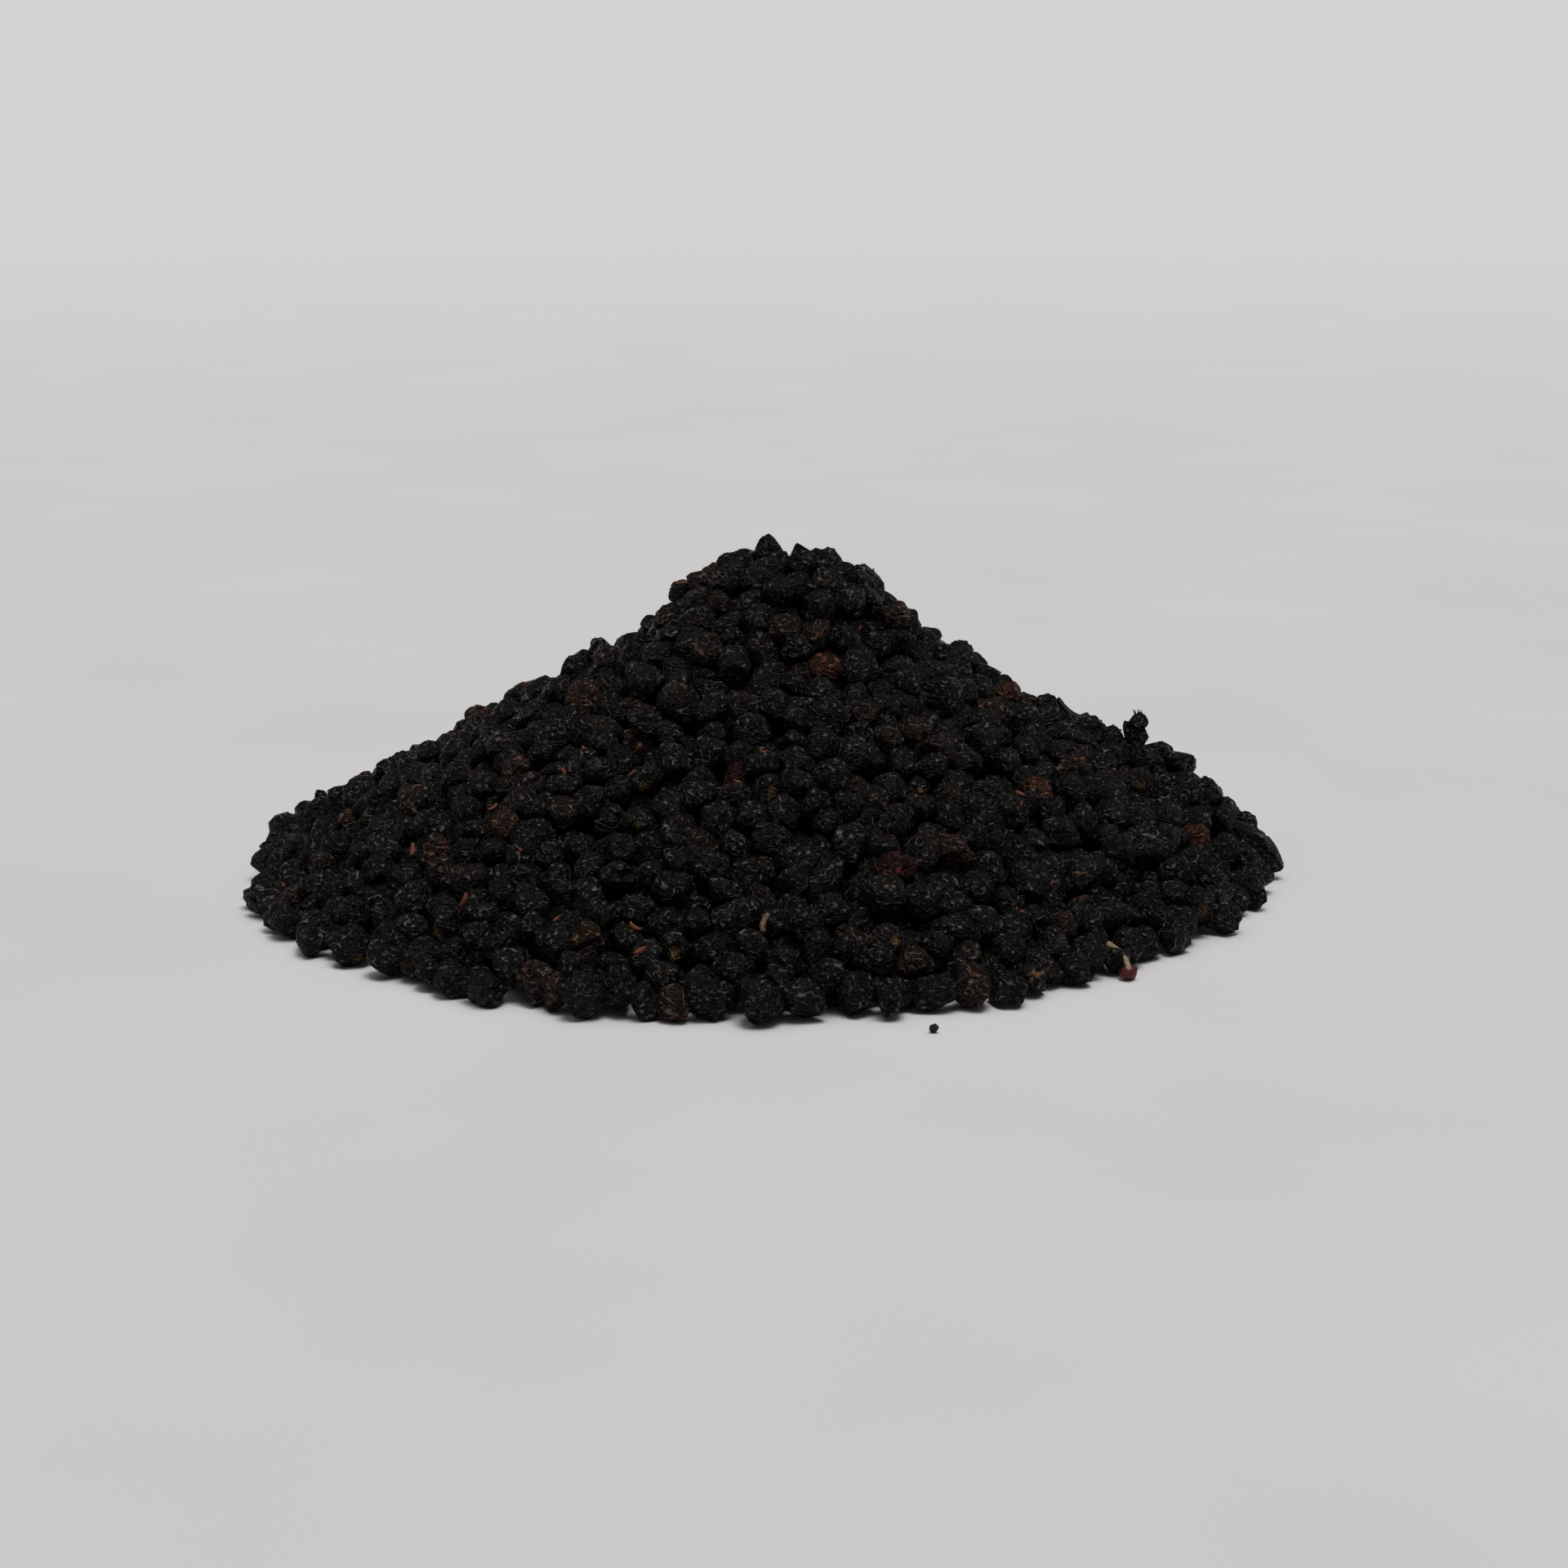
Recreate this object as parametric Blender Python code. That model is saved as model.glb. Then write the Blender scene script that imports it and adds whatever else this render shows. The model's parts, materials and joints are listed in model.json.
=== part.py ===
"""Heap of dried elderberries, modelled in metres with +Z up and its base on z = 0.

The heap is a low cone with a rounded crown. Its berries are settled one by one:
each is dropped on the berries below and rolls until it lies still, as long as it
stays under the heap's outline. The berries inside the heap are one solid with a
lumpy top and a flat base. The berries on the rim and on the crown, the brown ones,
the twins, and the bits of stalk and skin are pieces of their own, each lying in a
pocket of the heap.
"""

import math
import random
from typing import NamedTuple

import bmesh
import bpy
from mathutils import Matrix, Vector

MM = 0.001

# Outline of the heap.
HEAP_RADIUS = 65.8 * MM
FOOT_HEIGHT = 3.0 * MM
SLOPE = 0.61
SLOPE_LEAN = 0.04
# The foot isn't quite round: it has waves of these counts, smaller where they are closer.
RIM_WAVE_COUNTS = (1, 2, 3, 5, 9)
RIM_UNEVENNESS = 0.018
RIM_TURN = -2.5
CROWN_OFFSET = 2.0 * MM
CROWN_RADIUS = 15.0 * MM
CROWN_HEIGHT = 41.0 * MM
CROWN_DROP = 5.5 * MM
CROWN_TOP = 42.5 * MM
WAVE_HEIGHT = 0.8 * MM
WAVE_LENGTH_X = 4.1 * MM
WAVE_LENGTH_Y = 4.7 * MM
RIGHT_SHOULDER = (53.0 * MM, 2.0 * MM, 7.0 * MM, 4.0 * MM)
LEFT_SHOULDER = (-57.0 * MM, 0.0, 5.0 * MM, 1.0 * MM)

# Berries, and how they settle.
BERRY_RADIUS = 2.0 * MM
BERRY_SPREAD = 0.2 * MM
BERRY_LEAST = 1.5 * MM
BERRY_MOST = 2.5 * MM
SEED = 7
TRIES = 36000
CELL = 2.0 * BERRY_MOST
FALL_STEP = 0.3 * MM
FALL_STEPS = 400
PUSH_ROUNDS = 8
GRIP = 0.10
SQUEEZE = 0.12
OUTLINE_SLACK = 0.3 * MM
RIM_SHARE = 0.6

# Clearances between the pieces.
GAP = 0.3 * MM
SHAFT_SIDES = 8

# Heap solid.
HEAP_CELLS = 52
LEAST_WALL = 1.6 * MM
PIT_REACH = 0.5 * MM
SHAFT_HEIGHT = 9.0 * MM

# Pieces of their own.
RIM_BERRIES = 30
CROWN_BERRIES = 5
RIM_BERRY_TOP = 5.2 * MM
SPOT_REACH = 3.6 * MM
LUMP_DEPTH = 0.05
LEAST_SQUASH = 0.88

# Brown berries: spread evenly over the front and the sides, with shades in turn.
BROWN_BERRIES = 14
BROWN_SPREAD = 1.4 * math.pi
BROWN_REACH = 0.95
BROWN_SHADES = ("brown", "red_brown", "brown", "red_brown", "crimson")
FRONT = -0.5 * math.pi
GOLDEN_SHARE = 0.618

# Places below are a share of the foot's radius and a direction in degrees; -90 is the front.
TWIN_PLACES = ((0.95, -85.0), (0.80, -100.0), (0.90, -140.0))
CLUSTER_PLACE = (0.72, 5.0)
CLUSTER_BALLS = ((0.0, 2.0), (2.4, 1.6), (4.3, 1.1))
CLUSTER_LEAN = 0.12
CLUSTER_TIP = 1.5 * MM
CLUSTER_LIFT = -0.8 * MM

# Bits of stalk: place, length, turn about Z, bend; then the skin scraps.
STALK_RADIUS = 0.38 * MM
STALK_POINTS = 7
NESTLING = -0.2 * MM
STALK_BITS = (
    (0.95, -50.0, 3.8, -0.9, 0.7),
    (0.85, -90.0, 2.8, 1.35, 0.35),
    (0.45, 40.0, 5.0, 1.9, 0.7),
    (0.55, 155.0, 4.4, 2.6, 0.6),
)
SCRAPS = ((0.62, 12.0, 5.6, 0.2), (0.42, 120.0, 5.0, 2.2))
SCRAP_WIDTH = 0.42
SCRAP_THICKNESS = 0.4 * MM
SCRAP_CURL = 0.16
SCRAP_SINK = 0.8 * MM

SKIN_COLOURS = {
    "black": (0.008, 0.008, 0.009, 1.0),
    "brown": (0.105, 0.035, 0.014, 1.0),
    "red_brown": (0.155, 0.040, 0.018, 1.0),
    "crimson": (0.060, 0.008, 0.009, 1.0),
    "stalk": (0.300, 0.190, 0.110, 1.0),
}


class Berry(NamedTuple):
    """One berry of the heap: its centre and its radius."""

    x: float
    y: float
    z: float
    r: float


def rim_radius(azimuth):
    """Radius of the heap's foot in one direction."""
    waves = sum(
        RIM_UNEVENNESS / math.sqrt(count) * math.sin(count * azimuth + count + RIM_TURN)
        for count in RIM_WAVE_COUNTS
    )
    return HEAP_RADIUS * (1.0 + waves)


def spot(share, degrees):
    """Place (x, y) at a share of the foot's radius from the middle, in one direction."""
    azimuth = math.radians(degrees)
    return share * HEAP_RADIUS * math.cos(azimuth), share * HEAP_RADIUS * math.sin(azimuth)


def brown_spot(index):
    """Place (x, y) of one brown berry, on a spiral that spreads them evenly."""
    azimuth = FRONT + BROWN_SPREAD * ((index * GOLDEN_SHARE) % 1.0 - 0.5)
    return spot(BROWN_REACH * math.sqrt((index + 0.5) / BROWN_BERRIES), math.degrees(azimuth))


def shoulder(x, y, place):
    """Height that one rounded shoulder adds at (x, y)."""
    centre_x, centre_y, width, height = place
    squared = (x - centre_x) ** 2 + (y - centre_y) ** 2
    return height * math.exp(-squared / (2.0 * width * width))


def heap_top(x, y):
    """Height of the heap's outline above (x, y)."""
    azimuth = math.atan2(y, x)
    slope = SLOPE * (1.0 + SLOPE_LEAN * math.cos(azimuth))
    cone = FOOT_HEIGHT + (rim_radius(azimuth) - math.hypot(x, y)) * slope
    off_crown = math.hypot(x - CROWN_OFFSET, y) / CROWN_RADIUS
    crown = CROWN_HEIGHT - CROWN_DROP * off_crown**4
    wave = WAVE_HEIGHT * math.sin(x / WAVE_LENGTH_X + 1.0) * math.sin(y / WAVE_LENGTH_Y + 2.0)
    rounded = min(max(cone, crown), CROWN_TOP)
    return rounded + wave + shoulder(x, y, RIGHT_SHOULDER) + shoulder(x, y, LEFT_SHOULDER)


class Heap:
    """Berries that have settled, kept in cells so that neighbours are found quickly."""

    def __init__(self):
        self.rng = random.Random(SEED)
        self.berries = []
        self.cells = {}
        self.cover = {}

    def near(self, x, y, z):
        """Berries in the 27 cells around a point."""
        i, j, k = int(x // CELL), int(y // CELL), int(z // CELL)
        found = []
        for a in (i - 1, i, i + 1):
            for b in (j - 1, j, j + 1):
                for c in (k - 1, k, k + 1):
                    found += self.cells.get((a, b, c), ())
        return found

    def add(self, berry):
        """Keep a settled berry and raise the cover over it."""
        self.berries.append(berry)
        key = (int(berry.x // CELL), int(berry.y // CELL), int(berry.z // CELL))
        self.cells.setdefault(key, []).append(berry)
        reach = berry.r + BERRY_RADIUS
        cells = math.ceil(reach / MM)
        column, row = int(berry.x // MM), int(berry.y // MM)
        for a in range(column - cells, column + cells + 1):
            for b in range(row - cells, row + cells + 1):
                aside = ((a + 0.5) * MM - berry.x) ** 2 + ((b + 0.5) * MM - berry.y) ** 2
                if aside < reach * reach:
                    height = berry.z + math.sqrt(reach * reach - aside)
                    self.cover[(a, b)] = max(self.cover.get((a, b), 0.0), height)

    def start_height(self, x, y, r):
        """Height just above the berries that are already there."""
        cover = self.cover.get((int(x // MM), int(y // MM)), 0.0)
        return max(cover + r - BERRY_RADIUS + 0.5 * MM, r)

    def push_out(self, point, r, neighbours):
        """Move a berry's centre out of its neighbours and up from the floor."""
        x, y, z = point
        for _ in range(PUSH_ROUNDS):
            moved = False
            for other in neighbours:
                dx, dy, dz = x - other.x, y - other.y, z - other.z
                need = r + other.r
                squared = dx * dx + dy * dy + dz * dz
                if squared < need * need * 0.99999:
                    distance = math.sqrt(squared)
                    share = (need - distance) / distance
                    x += dx * share
                    y += dy * share
                    z += dz * share
                    moved = True
            if z < r:
                z = r
                moved = True
            if not moved:
                break
        return x, y, z

    def settle(self, x, y, r):
        """Drop a berry at (x, y) and let it roll until it hardly sinks."""
        point = (x, y, self.start_height(x, y, r))
        for _ in range(FALL_STEPS):
            below = (point[0], point[1], point[2] - FALL_STEP)
            lower = self.push_out(below, r, self.near(*below))
            if point[2] - lower[2] < GRIP * FALL_STEP:
                break
            point = lower
        return Berry(*point, r)

    def squeezed(self, berry):
        """Deepest overlap of a berry with its neighbours."""
        gaps = [
            berry.r + other.r - math.dist(berry[:3], other[:3])
            for other in self.near(*berry[:3])
        ]
        return max(gaps, default=0.0)

    def fits(self, berry):
        """True where a settled berry stays inside the heap's outline."""
        under = berry.z + berry.r <= heap_top(berry.x, berry.y) + OUTLINE_SLACK
        foot = rim_radius(math.atan2(berry.y, berry.x))
        inside = math.hypot(berry.x, berry.y) + RIM_SHARE * berry.r <= foot
        return under and inside and self.squeezed(berry) <= SQUEEZE * berry.r

    def fill(self):
        """Drop berries all over the foot until the heap is full."""
        for _ in range(TRIES):
            drawn = self.rng.gauss(BERRY_RADIUS, BERRY_SPREAD)
            r = min(max(drawn, BERRY_LEAST), BERRY_MOST)
            reach = HEAP_RADIUS * math.sqrt(self.rng.random())
            azimuth = self.rng.uniform(-math.pi, math.pi)
            x, y = reach * math.cos(azimuth), reach * math.sin(azimuth)
            if self.start_height(x, y, r) - 0.6 * r - 0.5 * MM > heap_top(x, y):
                continue
            berry = self.settle(x, y, r)
            if self.fits(berry):
                self.add(berry)

    def top(self, x, y, left_out=()):
        """Height of the berries' upper surface around (x, y), without the ones left out."""
        height = 0.0
        i, j = int(x // CELL), int(y // CELL)
        for a in (i - 1, i, i + 1):
            for b in (j - 1, j, j + 1):
                for c in range(int(heap_top(x, y) // CELL) + 3):
                    for berry in self.cells.get((a, b, c), ()):
                        aside = max(math.hypot(x - berry.x, y - berry.y) - PIT_REACH, 0.0)
                        if aside < berry.r and berry not in left_out:
                            height = max(height, berry.z + math.sqrt(berry.r**2 - aside**2))
        return height


class Choice:
    """Berries that are pieces of their own, each clear of all the others."""

    def __init__(self, heap):
        self.heap = heap
        self.taken = []

    def clear(self, berry):
        """True where a berry stands clear of every berry taken so far."""
        return all(
            math.dist(berry[:3], other[:3]) > berry.r + other.r + GAP for other in self.taken
        )

    def take(self, candidates):
        """Take the first candidate that is clear, or None."""
        for berry in candidates:
            if self.clear(berry):
                self.taken.append(berry)
                return berry
        return None

    def at_spot(self, x, y):
        """Top berry near (x, y), taken if it is clear."""
        close = [
            berry
            for berry in self.heap.berries
            if math.hypot(berry.x - x, berry.y - y) < SPOT_REACH
        ]
        close.sort(key=lambda b: math.hypot(b.x - x, b.y - y) - 1.5 * b.z)
        return self.take(close)

    def twin_at(self, x, y):
        """Top berry near (x, y) with its nearest neighbour, or an empty tuple."""
        first = self.at_spot(x, y)
        if first is None:
            return ()
        others = [berry for berry in self.heap.near(*first[:3]) if berry != first]
        others.sort(key=lambda b: math.dist(b[:3], first[:3]) - 0.4 * b.z)
        self.taken.remove(first)
        for second in others:
            if self.clear(second) and math.dist(first[:3], second[:3]) < 1.1 * (first.r + second.r):
                self.taken += [first, second]
                return first, second
        self.taken.append(first)
        return (first,)

    def on_rim(self):
        """Outermost berry of each sector of the rim that lies on the floor."""
        found = []
        sector = 2.0 * math.pi / RIM_BERRIES
        low = [berry for berry in self.heap.berries if berry.z + berry.r < RIM_BERRY_TOP]
        for number in range(RIM_BERRIES):
            middle = -math.pi + (number + 0.5) * sector
            inside = [
                berry
                for berry in low
                if abs(math.atan2(berry.y, berry.x) - middle) < 0.5 * sector
            ]
            inside.sort(key=lambda b: -math.hypot(b.x, b.y))
            berry = self.take(inside[:6])
            if berry:
                found.append(berry)
        return found

    def on_crown(self):
        """Highest berries of the heap."""
        high = sorted(self.heap.berries, key=lambda b: -(b.z + b.r))
        found = []
        for berry in high[:40]:
            if len(found) < CROWN_BERRIES and self.clear(berry):
                self.taken.append(berry)
                found.append(berry)
        return found


def clear_scene():
    """Remove every object of the scene."""
    for old in list(bpy.data.objects):
        bpy.data.objects.remove(old, do_unlink=True)


def new_collection(name):
    """Collection of this name, linked to the scene."""
    collection = bpy.data.collections.new(name)
    bpy.context.scene.collection.children.link(collection)
    return collection


def skin_material(name, colour, roughness):
    """Principled material of one piece."""
    material = bpy.data.materials.new(name)
    material.use_nodes = True
    shader = material.node_tree.nodes["Principled BSDF"]
    shader.inputs["Base Color"].default_value = SKIN_COLOURS[colour]
    shader.inputs["Roughness"].default_value = roughness
    shader.inputs["Metallic"].default_value = 0.0
    return material


def add_object(name, bm, collection, colour, roughness=0.6, smooth=True):
    """Object from a bmesh, outward facing, with a material of its own."""
    bmesh.ops.recalc_face_normals(bm, faces=bm.faces)
    mesh = bpy.data.meshes.new(name)
    bm.to_mesh(mesh)
    bm.free()
    if smooth:
        mesh.shade_smooth()
        mesh.set_sharp_from_angle(angle=math.radians(60.0))
    piece = bpy.data.objects.new(name, mesh)
    piece.data.materials.append(skin_material(name + "_skin", colour, roughness))
    collection.objects.link(piece)
    return piece


def lumpiness(direction, number):
    """Share of the radius that the dried skin has sunk in one direction."""
    waves = (
        math.sin(3.1 * direction.x + 1.7 * number)
        + math.sin(3.7 * direction.y + 2.9 * number)
        + math.sin(4.3 * direction.z + 0.9 * number)
    )
    return LUMP_DEPTH * (0.5 + waves / 6.0)


def berry_shape(bm, berry, number):
    """Add a shrunken berry: a lumpy, slightly squashed ball inside the berry's sphere."""
    made = bmesh.ops.create_icosphere(bm, subdivisions=2, radius=1.0)
    squash = LEAST_SQUASH + (1.0 - LEAST_SQUASH) * ((number * 0.37) % 1.0)
    turn = Matrix.Rotation(1.1 * number, 3, "Z") @ Matrix.Rotation(0.7 * number, 3, "X")
    centre = Vector(berry[:3])
    for vertex in made["verts"]:
        direction = vertex.co.normalized()
        shaped = direction * (1.0 - lumpiness(direction, number))
        shaped.z *= squash
        vertex.co = centre + berry.r * (turn @ shaped)
    return made["verts"]


def convex(bm):
    """Replace a mesh by its convex hull."""
    hull = bmesh.ops.convex_hull(bm, input=bm.verts)
    inner = [item for item in hull["geom_interior"] if isinstance(item, bmesh.types.BMVert)]
    bmesh.ops.delete(bm, geom=inner, context="VERTS")


def single_berry(name, berry, number, collection, colour):
    """One berry as a convex piece."""
    bm = bmesh.new()
    berry_shape(bm, berry, number)
    convex(bm)
    return add_object(name, bm, collection, colour)


def joined(name, pieces, collection, colour):
    """Union of several overlapping pieces as one object."""
    first, *others = pieces
    for other in others:
        union = first.modifiers.new("union", "BOOLEAN")
        union.operation = "UNION"
        union.object = other
    bpy.context.view_layer.update()
    evaluated = first.evaluated_get(bpy.context.evaluated_depsgraph_get())
    mesh = bpy.data.meshes.new_from_object(evaluated)
    for piece in pieces:
        bpy.data.objects.remove(piece, do_unlink=True)
    bm = bmesh.new()
    bm.from_mesh(mesh)
    return add_object(name, bm, collection, colour)


def overlap_bridge(first, second):
    """Small ball halfway between two touching berries, which joins them."""
    middle = (Vector(first[:3]) + Vector(second[:3])) / 2.0
    return Berry(*middle, 0.75 * min(first.r, second.r))


def twin_berry(name, pair, number, collection):
    """Two berries that dried together, joined by their touching sides."""
    balls = [*pair, overlap_bridge(*pair)]
    pieces = [
        single_berry(f"{name}_ball_{index}", ball, number + index, collection, "black")
        for index, ball in enumerate(balls)
    ]
    return joined(name, pieces, collection, "black")


def upright_cluster(name, foot, collection):
    """Three small berries on a stub of stalk that stands on the right shoulder."""
    pieces = []
    for index, (height, radius) in enumerate(CLUSTER_BALLS):
        lean = CLUSTER_LEAN * height * MM
        ball = Berry(foot.x + lean, foot.y, foot.z + height * MM, radius * MM)
        pieces.append(single_berry(f"{name}_ball_{index}", ball, 20 + index, collection, "black"))
    top_height, top_radius = CLUSTER_BALLS[-1]
    bm = bmesh.new()
    bmesh.ops.create_cone(
        bm,
        cap_ends=True,
        segments=8,
        radius1=0.5 * top_radius * MM,
        radius2=0.15 * top_radius * MM,
        depth=2.0 * CLUSTER_TIP,
    )
    tip = Vector((foot.x + CLUSTER_LEAN * top_height * MM, foot.y, foot.z + top_height * MM))
    bmesh.ops.translate(bm, verts=bm.verts, vec=tip)
    pieces.append(add_object(f"{name}_tip", bm, collection, "black"))
    return joined(name, pieces, collection, "black")


def stalk_path(place, heap):
    """Points of a bent stalk bit that lies on the berries."""
    share, degrees, length, turn, bend = place
    x, y = spot(share, degrees)
    flat = []
    for step in range(STALK_POINTS):
        along = (step / (STALK_POINTS - 1) - 0.5) * length * MM
        aside = bend * MM * (1.0 - (2.0 * along / (length * MM)) ** 2)
        flat.append(
            (
                x + along * math.cos(turn) - aside * math.sin(turn),
                y + along * math.sin(turn) + aside * math.cos(turn),
            )
        )
    lift = max(heap.top(*point) - heap_top(*point) for point in flat)
    lowest = STALK_RADIUS + GAP
    return [
        Vector((px, py, max(heap_top(px, py) + lift + NESTLING, lowest))) for px, py in flat
    ]


def tube(name, path, radius, collection, colour):
    """Round rod along a path, as a mesh with closed ends."""
    curve = bpy.data.curves.new(name + "_line", "CURVE")
    curve.dimensions = "3D"
    curve.bevel_depth = radius
    curve.bevel_resolution = 1
    curve.use_fill_caps = True
    spline = curve.splines.new("POLY")
    spline.points.add(len(path) - 1)
    for point, place in zip(spline.points, path):
        point.co = (*place, 1.0)
    line = bpy.data.objects.new(name + "_line", curve)
    collection.objects.link(line)
    bpy.context.view_layer.update()
    evaluated = line.evaluated_get(bpy.context.evaluated_depsgraph_get())
    mesh = bpy.data.meshes.new_from_object(evaluated)
    bpy.data.objects.remove(line, do_unlink=True)
    bm = bmesh.new()
    bm.from_mesh(mesh)
    bmesh.ops.remove_doubles(bm, verts=bm.verts, dist=0.01 * MM)
    return add_object(name, bm, collection, colour, 0.8)


def scrap_shape(place, heap):
    """Pointed scrap of dried skin that lies curled on the berries."""
    share, degrees, length, turn = place
    x, y = spot(share, degrees)
    bm = bmesh.new()
    bmesh.ops.create_grid(bm, x_segments=5, y_segments=2, size=0.5)
    for vertex in bm.verts:
        along, across = vertex.co.x, vertex.co.y
        pointed = SCRAP_WIDTH * (1.05 - 1.7 * abs(along + 0.08) ** 1.3)
        curl = SCRAP_CURL * (4.0 * along * along - 1.2 * abs(across))
        vertex.co = Vector((along, across * pointed, curl)) * length * MM
    bmesh.ops.solidify(bm, geom=bm.faces, thickness=SCRAP_THICKNESS)
    turned = Matrix.Rotation(turn, 4, "Z")
    slope = Vector((x, y, 0.0)).normalized()
    tilt = Matrix.Rotation(math.atan(SLOPE), 4, Vector((-slope.y, slope.x, 0.0)))
    bmesh.ops.transform(bm, matrix=tilt @ turned, verts=bm.verts)
    height = max(heap.top(x + v.co.x, y + v.co.y) - v.co.z for v in bm.verts)
    bmesh.ops.translate(bm, verts=bm.verts, vec=(x, y, height - SCRAP_SINK))
    return bm


def shaft_cutter(name, berry, collection):
    """Shaft with flat sides that opens a berry's pocket to the sky."""
    reach = berry.r + GAP
    corner = reach / math.cos(math.pi / SHAFT_SIDES)
    bm = bmesh.new()
    bmesh.ops.create_cone(
        bm,
        cap_ends=True,
        segments=SHAFT_SIDES,
        radius1=corner,
        radius2=corner,
        depth=reach + SHAFT_HEIGHT,
    )
    middle = Vector((berry.x, berry.y, berry.z + 0.5 * (SHAFT_HEIGHT - reach)))
    bmesh.ops.translate(bm, verts=bm.verts, vec=middle)
    return hide_cutter(add_object(name, bm, collection, "black", smooth=False))


def hull_cutter(name, piece, collection):
    """Shaft around a piece: its hull, grown by the gap and drawn up to the sky."""
    bm = bmesh.new()
    bm.from_mesh(piece.data)
    grown = []
    for vertex in list(bm.verts):
        for side in ((1, 1), (1, -1), (-1, 1), (-1, -1)):
            for drop in (-GAP, SHAFT_HEIGHT):
                grown.append(vertex.co + Vector((side[0] * GAP, side[1] * GAP, drop)))
    bm.clear()
    for place in grown:
        bm.verts.new(place)
    convex(bm)
    bmesh.ops.dissolve_limit(bm, angle_limit=math.radians(4.0), verts=bm.verts, edges=bm.edges)
    return hide_cutter(add_object(name, bm, collection, "black", smooth=False))


def hide_cutter(cutter):
    """Mark an object as a cutter, which isn't part of the model."""
    cutter.hide_render = True
    cutter.display_type = "WIRE"
    return cutter


def mound(heap, left_out):
    """Solid with a lumpy top that follows the berries, and a flat base."""
    bm = bmesh.new()
    bmesh.ops.create_grid(bm, x_segments=HEAP_CELLS, y_segments=HEAP_CELLS, size=1.0)
    for vertex in bm.verts:
        u, v = vertex.co.x, vertex.co.y
        x = u * math.sqrt(1.0 - 0.5 * v * v)
        y = v * math.sqrt(1.0 - 0.5 * u * u)
        foot = rim_radius(math.atan2(y, x)) - 0.8 * MM
        x, y = x * foot, y * foot
        vertex.co = (x, y, max(heap.top(x, y, left_out), LEAST_WALL))
    edge = [item for item in bm.edges if item.is_boundary]
    wall = bmesh.ops.extrude_edge_only(bm, edges=edge)
    foot_ring = [item for item in wall["geom"] if isinstance(item, bmesh.types.BMVert)]
    for vertex in foot_ring:
        vertex.co.z = 0.0
    ring_edges = [item for item in bm.edges if item.is_boundary]
    bmesh.ops.contextual_create(bm, geom=ring_edges)
    bmesh.ops.triangulate(bm, faces=[face for face in bm.faces if len(face.verts) == 4])
    return bm


def largest_body(bm):
    """Keep only the largest connected body of a mesh."""
    left = set(bm.verts)
    bodies = []
    while left:
        start = left.pop()
        body, front = {start}, [start]
        while front:
            vertex = front.pop()
            for edge in vertex.link_edges:
                other = edge.other_vert(vertex)
                if other not in body:
                    body.add(other)
                    front.append(other)
        left -= body
        bodies.append(body)
    bodies.sort(key=len)
    for body in bodies[:-1]:
        bmesh.ops.delete(bm, geom=list(body), context="VERTS")


def berry_heap(heap, left_out, cutters, collection):
    """The berries inside the heap: the mound with a pocket for each loose piece."""
    body = add_object("berry_heap", mound(heap, left_out), collection, "black", 0.65)
    cut = body.modifiers.new("pockets", "BOOLEAN")
    cut.operation = "DIFFERENCE"
    cut.operand_type = "COLLECTION"
    cut.collection = cutters
    bpy.context.view_layer.update()
    evaluated = body.evaluated_get(bpy.context.evaluated_depsgraph_get())
    mesh = bpy.data.meshes.new_from_object(evaluated)
    body.modifiers.clear()
    bm = bmesh.new()
    bm.from_mesh(mesh)
    bmesh.ops.triangulate(bm, faces=bm.faces)
    bmesh.ops.remove_doubles(bm, verts=bm.verts, dist=0.001 * MM)
    largest_body(bm)
    bm.to_mesh(body.data)
    bm.free()
    bpy.data.meshes.remove(mesh)
    return body


def build():
    """Build the whole heap."""
    clear_scene()
    pieces = new_collection("elderberry_heap")
    cutters = new_collection("pocket_cutters")
    heap = Heap()
    heap.fill()
    choice = Choice(heap)

    number = 0
    nestled = []
    for index, place in enumerate(TWIN_PLACES, start=1):
        pair = choice.twin_at(*spot(*place))
        if len(pair) == 2:
            nestled.append(twin_berry(f"twin_berry_{index}", pair, number, pieces))
        number += 3
    for index in range(BROWN_BERRIES):
        berry = choice.at_spot(*brown_spot(index))
        if berry:
            shade = BROWN_SHADES[index % len(BROWN_SHADES)]
            single_berry(f"brown_berry_{index + 1:02d}", berry, number, pieces, shade)
        number += 1
    for index, berry in enumerate(choice.on_crown(), start=1):
        single_berry(f"crown_berry_{index}", berry, number, pieces, "black")
        number += 1
    for index, berry in enumerate(choice.on_rim(), start=1):
        single_berry(f"rim_berry_{index:02d}", berry, number, pieces, "black")
        number += 1
    for index, berry in enumerate(choice.taken):
        shaft_cutter(f"pocket_{index:02d}", berry, cutters)

    x, y = spot(*CLUSTER_PLACE)
    foot = Vector((x, y, heap.top(x, y) + CLUSTER_LIFT))
    nestled.append(upright_cluster("upright_cluster", foot, pieces))
    for index, place in enumerate(STALK_BITS, start=1):
        path = stalk_path(place, heap)
        nestled.append(tube(f"stalk_bit_{index}", path, STALK_RADIUS, pieces, "stalk"))
    for index, place in enumerate(SCRAPS, start=1):
        shape = scrap_shape(place, heap)
        nestled.append(add_object(f"skin_scrap_{index}", shape, pieces, "black", 0.8))
    for piece in nestled:
        hull_cutter(piece.name + "_pocket", piece, cutters)
    berry_heap(heap, set(choice.taken), cutters, pieces)


build()
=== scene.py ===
"""Looks of the dried elderberry heap: a fine mesh and a finish for every berry, stalk and scrap.

The berries settle again in the same order as in the solid model, so that each wrinkled
berry lies where its solid lies. Lengths are in metres, and +Z is up.
"""

import json
import logging
import math
import random
from collections.abc import Sequence
from dataclasses import dataclass, field
from enum import Enum
from functools import cache, partial
from typing import Any, NamedTuple

import bmesh
import bpy
import numpy as np
from mathutils import Euler, Matrix, Vector


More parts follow.
